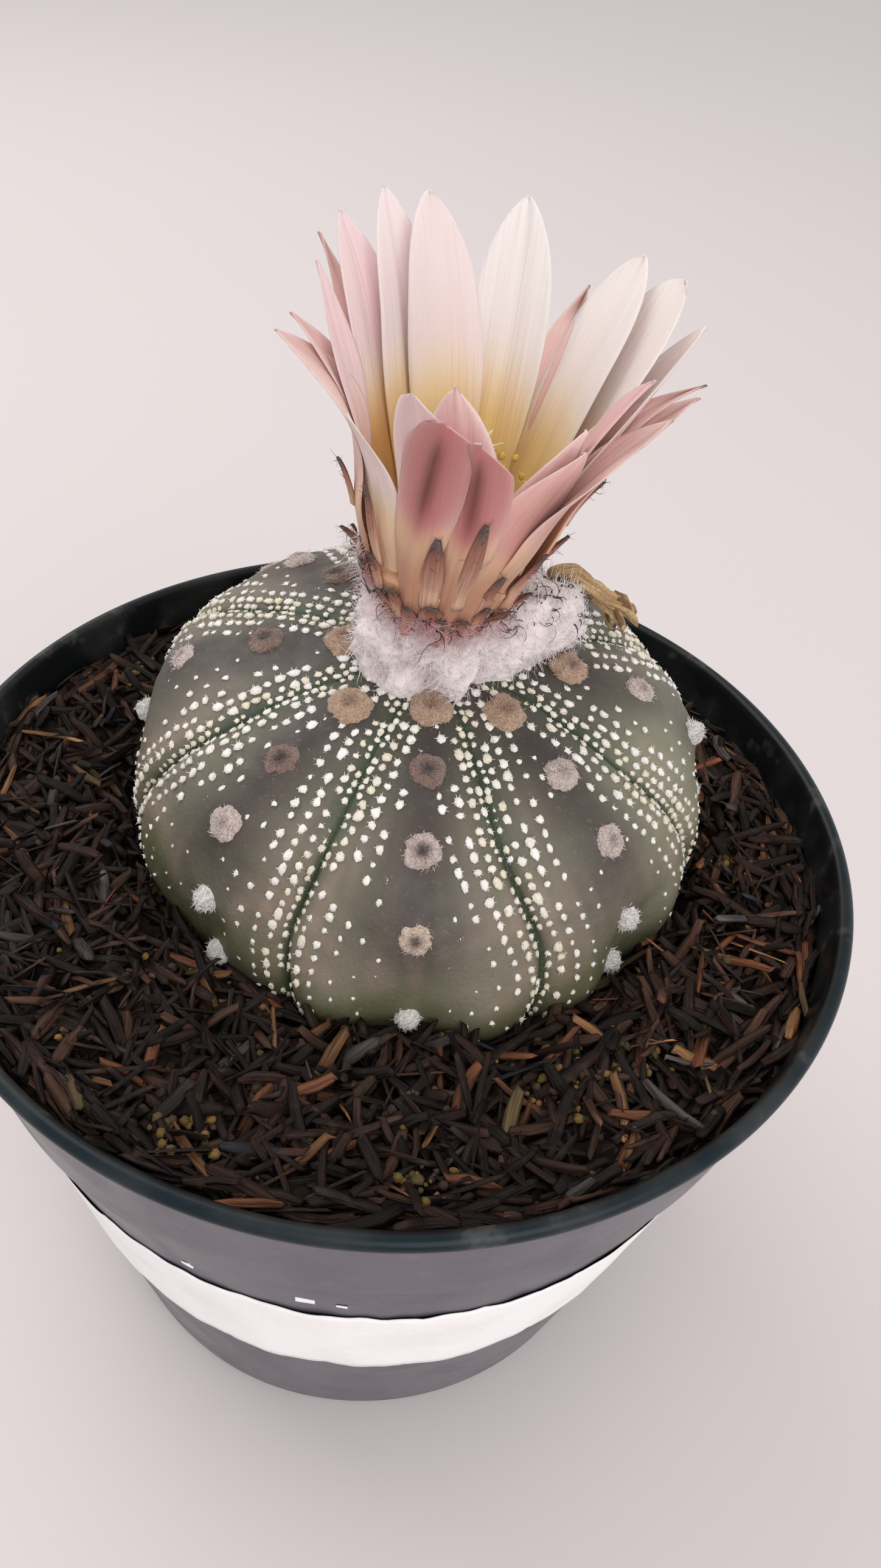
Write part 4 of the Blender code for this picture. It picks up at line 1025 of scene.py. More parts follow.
def wool_surface(turn, place):
    """Point on the wool: place goes from 0, deep in the body, over the top, to 1 at the tube."""
    turn, place = np.broadcast_arrays(turn, place)
    rise = WOOL_HEIGHT + 0.5 * np.sin(7 * turn + 2.0) + 5.5 * bell(degrees_from(turn, -170) / 28)
    level = rise * np.interp(place, WOOL_STOPS, WOOL_LEVELS)
    wall = tube_radius(level)
    across = np.maximum(wool_reach(turn) - wall, 1.5)
    return flower_point(wall + across * np.interp(place, WOOL_STOPS, WOOL_SHARES), turn, level)


def wool_puff(places):
    """Height of the wool's soft lumps."""
    return 0.95 * soft_noise(places, 6.5, 101) + 0.65 * soft_noise(places, 2.6, 102)


def near_red(places):
    """How near places are to the middle of a red spot, from 0 to 1."""
    spots = wool_surface(np.radians(RED_SPOTS[:, 0]), RED_SPOTS[:, 1])
    away = np.linalg.norm(places[..., None, :] - spots, axis=-1) / RED_SPOTS[:, 2]
    return np.max(bell(away), axis=-1)


turn = all_round(WOOL_AROUND)
place = np.linspace(0, 1, WOOL_ROWS)[:, None]
plain = wool_surface(turn, place)
puff = wool_puff(plain) + 0.3 * soft_noise(plain, 1.1, 103)
rings = plain + unit(plain - axis_point(2.0)) * (puff * ease(0.1, 0.3, place))[..., None]
wool_mesh = closed_tubes(rings[None], axis_point(-15.0), axis_point(6.0))
blush = ease(0.72, 0.98, place) * (np.cos(turn + 1.9) * 0.5 + 0.5)
tint = painted(
    puff.shape,
    (0.90, 0.81, 0.82),
    # Painted shade: where the puff dips below its middle, the wool is darkened towards a mauve grey.
    (0.5 * ease(0.2, 1.4, -puff), (0.52, 0.39, 0.41)),
    (0.5 * blush, (0.70, 0.34, 0.36)),
    (near_red(plain), (0.30, 0.06, 0.08)),
    (0.45 * bell(degrees_from(turn, 28) / 24) * ease(0.6, 0.85, place), (0.42, 0.37, 0.36)),
)
tint = np.concatenate([tint.reshape(-1, 3), np.full((2, 3), 0.8)])
fluff = ((0.0012, 6.0), (0.3, 0.6, 0.22, 0.0), (0.62, 0.54, 0.54))
wool_finish = grained_finish("plant_wool", 1.0, *fluff, depth=0.0011, sheen=0.3, glow=0.25, reach=0.0015)
wool = new_piece("wool_cushion", wool_mesh, wool_finish, tint)
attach(wool, "root")
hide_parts("wool_crown")

draw = np.random.default_rng(105)
turn = draw.uniform(0, 2 * np.pi, STRAND_COUNT * 2)
weight = wool_reach(turn) / (WOOL_RADIUS + WOOL_LUMP_REACH)
turn = turn[draw.random(len(turn)) < weight][:STRAND_COUNT]
count = len(turn)
place = draw.uniform(0.22, 0.97, count)
roots = wool_surface(turn, place)
outward = unit(roots - axis_point(3.0))
lying = unit(np.cross(outward, unit(draw.normal(size=roots.shape))))
ways = unit(lying + outward * draw.uniform(0.05, 0.75, (count, 1)))
roots = roots + outward * (wool_puff(roots) * ease(0.1, 0.3, place) - 0.25)[:, None]
lengths = draw.uniform(1.2, 4.0, count)
curls = draw.uniform(-2.6, 2.6, count)
thickness = draw.uniform(0.035, 0.07, count)
tint = np.array([0.96, 0.89, 0.90]) * draw.uniform(0.84, 1.04, (count, 1))
tint = blended(tint, 0.9 * near_red(roots), (0.42, 0.14, 0.15))
strand_grain = ((0.003, 2.0), (0.0, 1.0), (0.90, 0.86, 0.86))
strand_finish = grained_finish("wool_strand", 0.8, *strand_grain, way="SOFT_LIGHT", sheen=0.3)
strands = (roots, ways, unit(np.cross(ways, outward)), lengths, thickness, curls, 5, 106)
strand_piece = hair_piece("wool_strands", strand_finish, tint, *strands)
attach(strand_piece, "root")

draw = np.random.default_rng(107)
turn = draw.uniform(0, 2 * np.pi, BRISTLE_COUNT)
right = draw.random(BRISTLE_COUNT) < 0.45
turn = np.where(right, np.radians(draw.normal(24, 22, BRISTLE_COUNT)), turn)
place = np.where(right, draw.uniform(0.55, 0.9, BRISTLE_COUNT), draw.uniform(0.72, 0.98, BRISTLE_COUNT))
roots = wool_surface(turn, place)
outward = unit(roots - axis_point(3.0))
roots = roots + outward * (0.3 + wool_puff(roots))[:, None]
ways = unit(outward + draw.normal(0, 0.55, roots.shape))
lengths = draw.uniform(1.8, 4.2, BRISTLE_COUNT)
thickness = draw.uniform(0.10, 0.17, BRISTLE_COUNT)
curls = draw.uniform(2.5, 7.0, BRISTLE_COUNT)
sides = unit(np.cross(ways, unit(draw.normal(size=roots.shape))))
bristle_grain = ((0.002, 2.0), (0.0, 1.0), (0.10, 0.06, 0.05), (0.018, 0.012, 0.012))
bristle_finish = grained_finish("dark_bristle", 0.5, *bristle_grain)
bristles = (roots, ways, sides, lengths, thickness, curls, 8, 108)
bristle_piece = hair_piece("wool_bristles", bristle_finish, None, *bristles)
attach(bristle_piece, "root")

# Flower tube
# The flower's fleshy foot: a short funnel, red where it leaves the wool and peach above, with a
# yellow bowl inside. It is grown in one with the whorls of tepals on its mouth.

TUBE_SIDES = 120
TUBE_FOOT = -6.0
TUBE_MOUTH = 17.3
TUBE_LIP = ((11.0, 17.9), (10.4, 17.9))
BOWL = ((9.9, 17.4), (9.3, 15.2), (8.6, 13.0), (7.7, 11.2), (6.5, 10.0), (4.0, 9.3))
BOWL_BOTTOM = 9.1

turn = all_round(TUBE_SIDES)
outside = [(tube_radius(height), height) for height in np.linspace(TUBE_FOOT, TUBE_MOUTH, 34)]
profile = np.array([*outside, *TUBE_LIP, *BOWL])
height = profile[:, 1:]
number = np.arange(len(profile))[:, None]
fluted = ease(6, 13, height) * (number <= len(outside))
radius = profile[:, :1] + 0.22 * np.cos(11 * turn + 0.4) * fluted
rings = flower_point(radius, turn, height)
tube_surface = closed_tubes(rings[None], axis_point(TUBE_FOOT), axis_point(BOWL_BOTTOM))
streak = soft_noise(points_of(turn * 9, height * 0.2), 2.5, 111)
reddened = height + 1.2 * soft_noise(rings, 4.0, 112)
tint = painted(
    radius.shape,
    (0.62, 0.36, 0.20),
    (0.5 * ease(-0.2, 1.2, streak), (0.60, 0.28, 0.19)),
    (1 - ease(6.5, 11.5, reddened), (0.58, 0.20, 0.18)),
    (1.0 * (number > len(outside) + 1), (0.62, 0.36, 0.07)),
)
tint = np.concatenate([tint.reshape(-1, 3), [(0.46, 0.12, 0.12), (0.5, 0.32, 0.1)]])
tube_finish, tree, shader = new_finish("flower_tube_skin", 0.5, glow=0.3, reach=0.002)
flecked = range_of(tree, noise_of(tree, 0.0012, 4.0, (1.0, 1.0, 0.3)), 0.5, 0.75, 0.0, 0.25)
set_colour(tree, shader, tinted(tree, flecked, (0.66, 0.28, 0.20)))
add_bump(tree, shader, noise_of(tree, 0.0009, 3.0, (1.0, 1.0, 0.25)), 0.0002)
tube = new_piece("flower_foot", tube_surface, tube_finish, tint)
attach(tube, "root")
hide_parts("flower_tube")

# Tepals
# Two whorls of silky petals. The outer ones are dusty rose with a maroon stripe down the back and
# a dark tip, and start low on the tube. The inner ones are pale, with a yellow foot.

RING_TOP = 18.45
PETAL_ROWS = 46
PETAL_COLUMNS = 15
INNER_FOOT = 10.45
OUTER_FOOT = 11.85
PETAL_BELLY = 2.6
WHOLE = (1.0, 1.0, 1.0, 1.0, 1.0)
# The foot's direction and the tip's drift from it in degrees, the tip's distance from the axis and
# its height, the width, how blunt the tip is, the roll of the face in degrees, how late the petal
# bends out, where the top edge ends in five places across, how pink and how cream it is, and how
# far its middle stands out behind its neighbours
INNER_TEPALS = (
    (142, 9, 25.0, 56.8, 10.8, 0.30, 3, 2.0, WHOLE, 0.80, 0.0, 0.7),
    (121, 19, 22.0, 60.2, 10.4, 0.28, 3, 1.8, WHOLE, 0.40, 0.0, 0.3),
    (99, 28, 18.5, 60.6, 11.6, 0.36, 4, 1.9, WHOLE, 0.45, 0.0, 0.0),
    (73, 11, 20.6, 60.9, 12.0, 0.32, 8, 1.6, WHOLE, 0.0, 0.1, 0.2),
    (39, 5, 26.6, 57.2, 12.8, 0.36, 12, 1.6, WHOLE, 0.10, 0.5, 0.0),
    (14, 13, 27.2, 57.2, 17.5, 0.50, 14, 1.7, (0.98, 1.0, 0.985, 0.995, 0.98), 0.15, 0.9, 0.5),
    (-10, 23, 27.8, 54.0, 14.5, 0.25, 14, 2.0, WHOLE, 0.50, 1.0, 0.6),
    (-32, 19, 20.8, 50.3, 6.0, 0.55, -10, 2.8, (0.98, 1.0, 1.0, 0.98, 0.95), 1.60, 0.0, 0.0),
    (-58, 26, 15.5, 43.5, 12.0, 0.50, 0, 1.8, WHOLE, 1.0, 0.0, 0.0),
    (-92, -11, 21.7, 52.0, 10.5, 0.12, 8, 2.0, (0.94, 0.98, 1.0, 0.96, 0.91), 0.90, 0.0, 0.0),
    (-114, 2, 25.4, 51.2, 9.0, 0.50, 8, 2.0, (0.95, 0.995, 1.0, 0.965, 0.92), 0.95, 0.0, 0.0),
    (-141, -6, 20.0, 41.0, 9.5, 0.30, 4, 2.4, WHOLE, 0.50, 0.6, 0.0),
    (-164, -32, 24.6, 52.0, 9.0, 0.15, 6, 2.2, WHOLE, 1.0, 0.0, 0.0),
)
# The same up to the top edge, then how strong the maroon stripe and the dark tip are
OUTER_TEPALS = (
    (-166, -8, 27.2, 46.3, 10.5, 0.30, 14, 4.5, WHOLE, 0.10, 0.2),
    (171, 10, 25.6, 47.8, 9.0, 0.20, 0, 3.2, WHOLE, 0.3, 0.3),
    (150, 0, 28.1, 53.0, 7.0, 0.05, 0, 2.2, WHOLE, 0.6, 0.4),
    (120, -6, 24.4, 50.0, 7.0, 0.05, 0, 2.0, WHOLE, 0.7, 0.8),
    (92, -9, 27.6, 50.0, 7.0, 0.05, 0, 2.0, WHOLE, 0.8, 0.8),
    (60, -2, 24.9, 51.0, 7.0, 0.03, 0, 1.9, WHOLE, 0.9, 1.0),
    (34, 6, 30.0, 51.5, 7.0, 0.05, 0, 2.0, WHOLE, 0.8, 0.8),
    (6, -11, 27.4, 50.0, 7.5, 0.03, -20, 3.2, WHOLE, 0.9, 1.0),
    (-24, 25, 27.9, 47.0, 8.0, 0.15, -20, 3.2, WHOLE, 0.4, 0.3),
    (-54, 41, 24.5, 46.0, 11.0, 0.20, -20, 3.0, WHOLE, 0.25, 0.2),
    (-68, 24, 18.0, 42.5, 12.0, 0.50, -4, 2.0, WHOLE, 0.35, 0.0),
    (-85, -7, 23.8, 47.0, 9.3, 0.60, 8, 2.2, (0.99, 1.0, 0.985, 0.945, 0.88), 0.95, 0.0),
    (-114, 12, 25.0, 49.0, 9.6, 0.60, 8, 2.2, (0.965, 1.0, 0.99, 0.97, 0.94), 1.0, 0.0),
)


def column_of(table, place):
    """One column of a table, with room for the rows and columns of a petal."""
    return np.array([entry[place] for entry in table])[:, None, None]


def belly_of(up):
    """How far a petal has swelled out at a share of its height."""
    return PETAL_BELLY * (1 - (1 - np.minimum(up / 0.35, 1)) ** 2)


def sheet_normal(middle):
    """Ways out of sheets of points by row and column."""
    return unit(np.cross(np.gradient(middle, axis=2), np.gradient(middle, axis=1)))


def front_and_back(front, back):
    """Values of the two faces of a sheet, in the order of its flat rings."""
    return np.concatenate([front, back[..., ::-1]], axis=2)


def petal_whorl(table, foot, root_height, root_lift, waist, thickness, behind, seed):
    """Petals as closed tubes: each rises from its root to its tip and wraps round the flower's axis.

    Along a petal the radius swells to a belly and then bends out by a power of the height, and the
    distance behind is added round half height. The width swells from the waist's share to its whole
    and narrows to the tip, the midrib stands out, and the edges turn in and wave.
    """
    draw = np.random.default_rng(seed)
    count = len(table)
    turn, drift, reach, height, width, blunt, roll, flare = (column_of(table, place) for place in range(8))
    side = np.linspace(-1, 1, PETAL_COLUMNS)
    stops = np.linspace(-1, 1, 5)
    fitted = [np.polyval(np.polyfit(stops, entry[8], 4), side) for entry in table]
    top = np.minimum(np.stack(fitted), 1.0)[:, None]
    along = np.sin(np.linspace(0, np.pi / 2, PETAL_ROWS))[None, :, None] * top
    level = root_height + (height - root_height) * along
    share = (level - RING_TOP) / (height - RING_TOP)
    up = np.clip(share, 0, 1)
    opened = foot + belly_of(up) + (reach - foot - PETAL_BELLY) * up**flare
    opened = opened + behind * np.sin(np.pi * up) ** 2
    hugging = tube_radius(np.minimum(level, 17.2)) + root_lift
    radius = np.where(share > 0, opened, hugging)
    padded = np.pad(radius, ((0, 0), (4, 4), (0, 0)), mode="edge")
    smoothed = sum(padded[:, step : step + PETAL_ROWS] for step in range(9)) / 9
    radius = radius + (smoothed - radius) * (1 - ease(0.0, 0.25, share))
    swell = waist + (1 - waist) * np.sin(np.pi / 2 * np.minimum(1, up / 0.60))
    taper = 1 - 0.97 * (1 - blunt) * np.maximum(0, (up - 0.52) / 0.48) ** (2 + 2 * blunt)
    rounded = np.sqrt(np.maximum(1 - up**16, 0.0))
    half = width / 2 * swell * np.maximum(taper * rounded, 0.02)
    phase = draw.uniform(0, 2 * np.pi, (count, 1, 1))
    beat = draw.uniform(1.2, 2.2, (count, 1, 1))
    wave = 0.30 * side**2 * np.sin(2 * np.pi * beat * up + phase + side * 1.2) * up
    pleat = 0.10 * np.cos(3.0 * np.pi * side + phase) * np.sin(np.pi * np.clip(up, 0.02, 1))
    keel = 0.25 * bell(side / 0.16) - 0.50 * side**2 * (0.4 + 0.6 * (1 - up))
    tilt = np.radians(roll) * ease(-0.5, 0.4, up)
    arc = np.radians(turn + drift * up**1.3) + side * half * np.cos(tilt) / radius
    middle = flower_point(radius + wave + pleat + keel + side * half * np.sin(tilt), arc, level)
    thin = thickness / 2 * (1 - 0.75 * side**4)[None, None] * (1 - 0.5 * up**2)
    rings = flat_ring(middle, sheet_normal(middle), thin[..., None])
    core = PETAL_COLUMNS // 2
    surface = closed_tubes(rings, middle[:, 0, core], middle[:, -1, core])
    rise = front_and_back(up, up)
    both = front_and_back(side + 0 * up, side + 0 * up)
    back = front_and_back(1 + 0 * up, 0 * up)
    spread = both * front_and_back(half, half)
    run = points_of(rise * 40, spread, back + 7.3 * np.arange(count)[:, None, None])
    return surface, rise, both, back, front_and_back(level, level), run


def petal_points(values):
    """Values by petal, row and place in the ring, with those of the two poles, in the mesh's order."""
    middle = values.shape[2] // 4
    flat = values.reshape(len(values), -1, 3)
    return np.concatenate([flat, values[:, :1, middle], values[:, -1:, middle]], axis=1).reshape(-1, 3)


def silky_finish(name, vein_colour, vein_share):
    """Thin silky petal: colours from the mesh, darker veins along it and a fine lengthwise relief."""
    finish, tree, shader = new_finish(name, 0.55, sheen=0.15, glow=0.35, reach=0.001)
    veins = noise_of(tree, 1.0, 2.5, (0.05, 1.6, 1.0), on_run=True)
    clouds = range_of(tree, noise_of(tree, 0.006, 3.0), 0.3, 0.7, 0.0, 0.12)
    veined = tinted(tree, range_of(tree, veins, 0.5, 0.8, 0.0, vein_share), vein_colour)
    set_colour(tree, shader, mixed(tree, clouds, veined, vein_colour))
    add_bump(tree, shader, veins, 0.0002)
    return finish


whorl = petal_whorl(OUTER_TEPALS, OUTER_FOOT, 8.0, 0.35, 0.48, 0.55, 0.0, 121)
rose_surface, up, side, back, level, run = whorl
stripe = column_of(OUTER_TEPALS, 9)
dark_tip = column_of(OUTER_TEPALS, 10)
soft = 1 - 0.55 * stripe * ease(0.4, 0.7, up)
light_tip = np.where(dark_tip > 0, 0.65, 1 - stripe)
lower = 1 - ease(0.29, 0.52, up + 0.10 * (1 - np.abs(side)))
band = bell(side / 0.22) * ease(0.30, 0.55, up) * (1 - ease(0.76, 0.98, up))
core = bell(side / 0.09) * ease(0.45, 0.65, up) * (1 - ease(0.82, 0.95, up))
tint = painted(
    up.shape,
    (0.53, 0.19, 0.185),
    (0.54 * soft * np.abs(side) ** 2.2 * ease(0.15, 0.4, up), (0.84, 0.58, 0.54)),
    (0.7 * light_tip * ease(0.5, 1.0, up), (0.80, 0.57, 0.54)),
    (0.5 * np.maximum(1 - stripe, 0) * back, (0.84, 0.60, 0.52)),
    (0.75 * (1 - back) * ease(0.1, 0.5, up), (0.82, 0.62, 0.58)),
    (lower, (0.78, 0.52, 0.34)),
    (0.95 * (1 - ease(19.0, 31.0, level)), (0.50, 0.25, 0.15)),
    (0.7 * (1 - ease(10.5, 16.0, level)), (0.50, 0.19, 0.15)),
    (stripe * band * back, (0.20, 0.045, 0.04)),
    (0.45 * stripe * core * back, (0.10, 0.026, 0.02)),
    (dark_tip * ease(0.82, 0.97, up) * bell(side / 0.7), (0.14, 0.05, 0.035)),
)
rose_finish = silky_finish("rose_tepal", (0.42, 0.14, 0.14), 0.26)
rose = new_piece("rose_tepals", rose_surface, rose_finish, petal_points(tint), petal_points(run))
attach(rose, "root")
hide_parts("flower_outer_tepals")

whorl = petal_whorl(INNER_TEPALS, INNER_FOOT, 15.5, -1.1, 0.50, 0.5, column_of(INNER_TEPALS, 11), 122)
pale_surface, up, side, back, _, run = whorl
pink = column_of(INNER_TEPALS, 9)
# left: how far a petal lies on the throat's left, where its foot gets painted shade.
left = ease(90, 140, column_of(INNER_TEPALS, 0))
fade = up + 0.05 * side**2 - 0.07
tint = painted(
    up.shape,
    (0.83, 0.795, 0.79),
    (np.minimum(pink, 1), (0.77, 0.56, 0.59)),
    (np.maximum(pink - 1, 0), (0.60, 0.28, 0.28)),
    (0.8 * column_of(INNER_TEPALS, 10), (0.82, 0.72, 0.68)),
    (0.55 * back * np.clip(0.35 + 0.65 * pink, 0, 1), (0.76, 0.50, 0.48)),
    (1 - ease(0.30, 0.60, fade), (0.85, 0.71, 0.52)),
    (1 - ease(0.18, 0.48, fade), (0.86, 0.61, 0.23)),
    # Painted shade: the feet of the petals at 90 to 140 degrees, on the throat's left, are darkened to a
    # deep orange.
    (left * (1 - ease(0.20, 0.50, fade)), (0.58, 0.30, 0.09)),
    (0.75 * back * (1 - ease(0.25, 0.6, up)), (0.80, 0.55, 0.42)),
)
pale_finish = silky_finish("pale_tepal", (0.84, 0.64, 0.60), 0.14)
pale = new_piece("pale_tepals", pale_surface, pale_finish, petal_points(tint), petal_points(run))
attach(pale, "root")
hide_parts("flower_inner_tepals")

# Scales on the tube
# Narrow maroon scales lie on the tube and on the feet of the outer tepals, low ones in the wool.
# Each ends in a dark dry point with a few curled bristles.

# Direction in degrees, heights of the foot and the tip, width, and how far the tip stands off
SCALES = (
    (-100, 15.0, 29.0, 2.5, 0.5), (-81, 16.0, 33.0, 2.1, 0.5), (-62, 12.5, 23.5, 2.1, 0.9),
    (-140, 19.0, 32.0, 1.6, 0.5), (-166, 25.0, 31.5, 1.8, 1.3), (-169, 15.5, 20.5, 1.9, 2.6),
    (-142, 14.5, 20.5, 1.8, 0.9), (-124, 11.0, 17.0, 2.0, 1.0), (-96, 11.0, 16.6, 3.0, 1.2),
    (-112, 10.2, 15.2, 2.0, 1.4), (-88, 9.8, 14.6, 2.0, 1.6), (-61, 11.0, 17.0, 2.0, 1.0),
    (-74, 10.2, 15.0, 1.8, 1.6), (-134, 10.5, 15.6, 1.8, 1.4), (-152, 12.5, 17.8, 1.9, 1.2),
    (-44, 10.2, 15.6, 1.8, 1.6), (-12, 9.5, 15.0, 2.0, 1.8), (15, 9.5, 14.5, 2.0, 2.2),
    (-14, 20.0, 26.0, 1.5, 1.1), (-9, 27.0, 34.5, 1.4, 1.1), (22, 13.5, 27.0, 2.2, 0.6),
    (45, 11.5, 22.0, 2.0, 1.2), (68, 16.0, 31.0, 2.2, 0.6), (90, 11.0, 22.5, 2.2, 1.2),
    (112, 15.0, 29.0, 2.4, 0.6), (135, 11.0, 21.0, 2.0, 1.4), (157, 15.5, 29.5, 2.2, 0.6),
    (178, 10.5, 19.0, 2.0, 1.6), (-38, 14.5, 26.0, 1.8, 0.7), (5, 10.5, 18.0, 1.8, 1.8),
    (60, 9.5, 14.5, 2.0, 1.8), (120, 9.5, 14.5, 2.0, 1.8),
)
SCALE_ROWS = 16
SCALE_COLUMNS = 7
SCALE_BRISTLES = 14


def cup_radius(height):
    """Outside of the tube and, above its mouth, of the outer tepals."""
    up = np.clip((height - RING_TOP) / 28.5, 0, 1)
    opened = OUTER_FOOT + belly_of(up) + (25.5 - OUTER_FOOT - PETAL_BELLY) * up**2.4
    return np.where(height > RING_TOP, opened + 0.4, tube_radius(height) + 0.45)


turn, low, high, width, off = (column_of(SCALES, place) for place in range(5))
side = np.linspace(-1, 1, SCALE_COLUMNS)
up = np.linspace(0, 1, SCALE_ROWS)[None, :, None]
level = low + (high - low) * up
radius = cup_radius(level) + 0.12 + off * up**1.7 - 0.35 * side**2
half = width / 2 * (0.9 + 0.3 * np.sin(np.pi * up)) * (1 - 0.70 * up**5)
middle = flower_point(radius, np.radians(turn) + side * half / radius, level)
normal = sheet_normal(middle)
stout = 0.22 + 0.22 * (1 - ease(4, 8, high - low))
rings = flat_ring(middle, normal, (stout * (1 - 0.6 * up))[..., None])
core = SCALE_COLUMNS // 2
scale_surface = closed_tubes(rings, middle[:, 0, core], middle[:, -1, core])
across = np.concatenate([side, side[::-1]])
rise = up + 0 * across + 0 * turn
tint = painted(
    rise.shape,
    (0.38, 0.15, 0.11),
    (0.95 * (1 - ease(0.10, 0.80, rise)), (0.76, 0.47, 0.33)),
    (ease(0.70, 0.95, rise), (0.14, 0.10, 0.09)),
)
run = points_of(rise * 12, across * 1.5, np.arange(len(SCALES))[:, None, None])
scale_grain = ((1.0, 3.0, (0.12, 2.2, 1.0), True), (0.35, 0.7, 0.0, 0.5), (0.09, 0.04, 0.035))
scale_finish = grained_finish("scale_skin", 0.6, *scale_grain, depth=0.0003)
scales = new_piece("tube_scales", scale_surface, scale_finish, petal_points(tint), petal_points(run))
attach(scales, "root")

draw = np.random.default_rng(131)
owner = np.repeat(np.arange(len(SCALES)), SCALE_BRISTLES)
count = len(owner)
row = draw.integers(SCALE_ROWS // 2, SCALE_ROWS, count)
column = draw.integers(0, SCALE_COLUMNS, count)
roots = middle[owner, row, column]
ahead = unit(middle[owner, -1, core] - middle[owner, -4, core])
ways = unit(ahead + normal[owner, row, column] * 0.5 + draw.normal(0, 0.45, roots.shape))
twists = unit(np.cross(ways, unit(draw.normal(size=roots.shape))))
curls = draw.uniform(-3.5, 3.5, count)
lengths = draw.uniform(0.6, 1.7, count)
thickness = draw.uniform(0.035, 0.065, count)
tufts = (roots, ways, twists, lengths, thickness, curls, 7, 132)
scale_bristles = hair_piece("scale_bristles", bristle_finish, None, *tufts)
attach(scale_bristles, "root")

# Stamens, style and stigma
# Yellow threads with their pollen heads stand round the cream style, whose spread stigma lobes
# reach a little above them, deep in the flower.

STAMEN_COUNT = 110
THREAD_COLOUR = (0.80, 0.66, 0.28)
POLLEN_COLOUR = (0.82, 0.56, 0.12)
STIGMA_HEIGHT = 36.4
LOBE_COUNT = 8
LOBE_LENGTH = 4.0
# Radii and heights of the style, up to the foot of its stigma's neck
STYLE = ((1.3, BOWL_BOTTOM + 0.2), (1.1, 12.0), (0.95, 18.0), (0.95, 24.0))

draw = np.random.default_rng(141)
turn = all_round(STAMEN_COUNT) + draw.normal(0, 0.03, STAMEN_COUNT)
foot_share = draw.random(STAMEN_COUNT)
roots = flower_point(5.2 + 3.2 * foot_share, turn, 9.8 + 3.2 * foot_share)
head_radius = draw.uniform(5.4, 10.4, STAMEN_COUNT)
head_turn = turn + draw.normal(0, 0.1, STAMEN_COUNT)
heads = flower_point(head_radius, head_turn, draw.uniform(22.5, 32.5, STAMEN_COUNT))
lengths = np.linalg.norm(heads - roots, axis=1)
ways = (heads - roots) / lengths[:, None]
sides = unit(np.cross(ways, np.array([0.3, 0.2, 1.0])))
threads = closed_tubes(*hair_tubes(roots, ways, sides, lengths, 0.16, 0.12, 5, 142))
pollen = closed_tubes(*lumps(heads, np.full(STAMEN_COUNT, 0.62), 8, (-0.7, 0.0, 0.7), (0.6, 0.8, 0.6), 143))
tint = np.repeat([THREAD_COLOUR, POLLEN_COLOUR], [len(threads[0]), len(pollen[0])], axis=0)
powder = ((0.0004, 3.0), (0.4, 0.7, 0.0, 0.4), (0.60, 0.33, 0.05))
stamen_finish = grained_finish("pollen_yellow", 0.7, *powder, depth=0.0003)
stamens = new_piece("yellow_stamens", joined([threads, pollen]), stamen_finish, tint)
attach(stamens, "root")
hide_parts("flower_stamens")

neck = STIGMA_HEIGHT - 3.6
style_radii, style_heights = np.array([*STYLE, (1.15, neck), (0.8, neck + 0.8)]).T[..., None]
style_rings = flower_point(style_radii, all_round(16), style_heights)
style_column = closed_tubes(style_rings[None], axis_point(BOWL_BOTTOM), axis_point(neck + 1.0))
spread = all_round(LOBE_COUNT)
out = flower_way(spread)
lobe_ways = unit(out * 0.55 + FLOWER_AXIS)
lobe_roots = flower_point(0.75, spread, neck)
lobes = closed_tubes(*hair_tubes(lobe_roots, lobe_ways, out, LOBE_LENGTH, 0.62, 0.9, 9, 144))
velvet = ((0.0003, 3.0), (0.0, 1.0), (0.78, 0.64, 0.30), (0.86, 0.78, 0.46))
stigma_finish = grained_finish("stigma_cream", 0.75, *velvet, depth=0.0003, glow=0.2, reach=0.001)
style = new_piece("style_and_stigma", joined([style_column, lobes]), stigma_finish)
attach(style, "root")
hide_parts("flower_style")

# Withered flower
# An old flower dried to a twisted, papery straw-coloured tube, which hangs over the wool's lump
# and ends in a torn frill.

# Places of its middle line from the wool to the frill, and the radius at each
WITHERED_PATH = np.array([
    (20.5, 16.9, 147.2), (24.5, 18.8, 146.4), (28.6, 20.4, 143.0), (31.8, 21.6, 139.4), (34.4, 22.6, 136.2),
])
WITHERED_RADII = (1.0, 1.3, 1.6, 1.55, 2.4)
WITHERED_ROWS = 44
WITHERED_SIDES = 56
# Widths of the rings inside the mouth, and how deep each one is
MOUTH_WIDTHS = np.array([0.88, 0.8, 0.6])[:, None, None]
MOUTH_DEPTHS = np.array([0.1, 1.6, 3.5])[:, None, None]

share = np.linspace(0, 1, WITHERED_ROWS)[:, None]
stops = np.linspace(0, 1, 5)
path = np.concatenate([np.interp(share, stops, WITHERED_PATH[:, axis]) for axis in range(3)], axis=1)
path[:, 2:] += 0.35 * np.sin(share * 9)
way = unit(np.gradient(path, axis=0))
flank = unit(np.cross([0.0, 0.0, 1.0], way))
upward = np.cross(way, flank)
turn = all_round(WITHERED_SIDES)
twist = turn + 2.6 * share
crumple = soft_noise(points_of(twist * 3, share * 14), 2.0, 151)
fold = 0.20 * np.cos(4 * twist) + 0.11 * np.cos(9 * twist + 1.0) + 0.05 * crumple
frill = ease(0.8, 1.0, share)
radius = np.interp(share, stops, WITHERED_RADII) * (0.86 + fold)
radius = radius * (1 + frill * (0.10 + 0.30 * np.cos(7 * turn + 0.7)))
torn = frill * (1.3 * np.cos(5 * turn) + 0.9 * np.cos(11 * turn + 2))
rings = path[:, None] + flank[:, None] * (radius * np.cos(turn))[..., None]
rings = rings + upward[:, None] * (radius * np.sin(turn))[..., None] + way[:, None] * torn[..., None]
mouth = path[-1] + (rings[-1] - path[-1]) * MOUTH_WIDTHS - way[-1] * MOUTH_DEPTHS
rings = np.concatenate([rings, mouth])
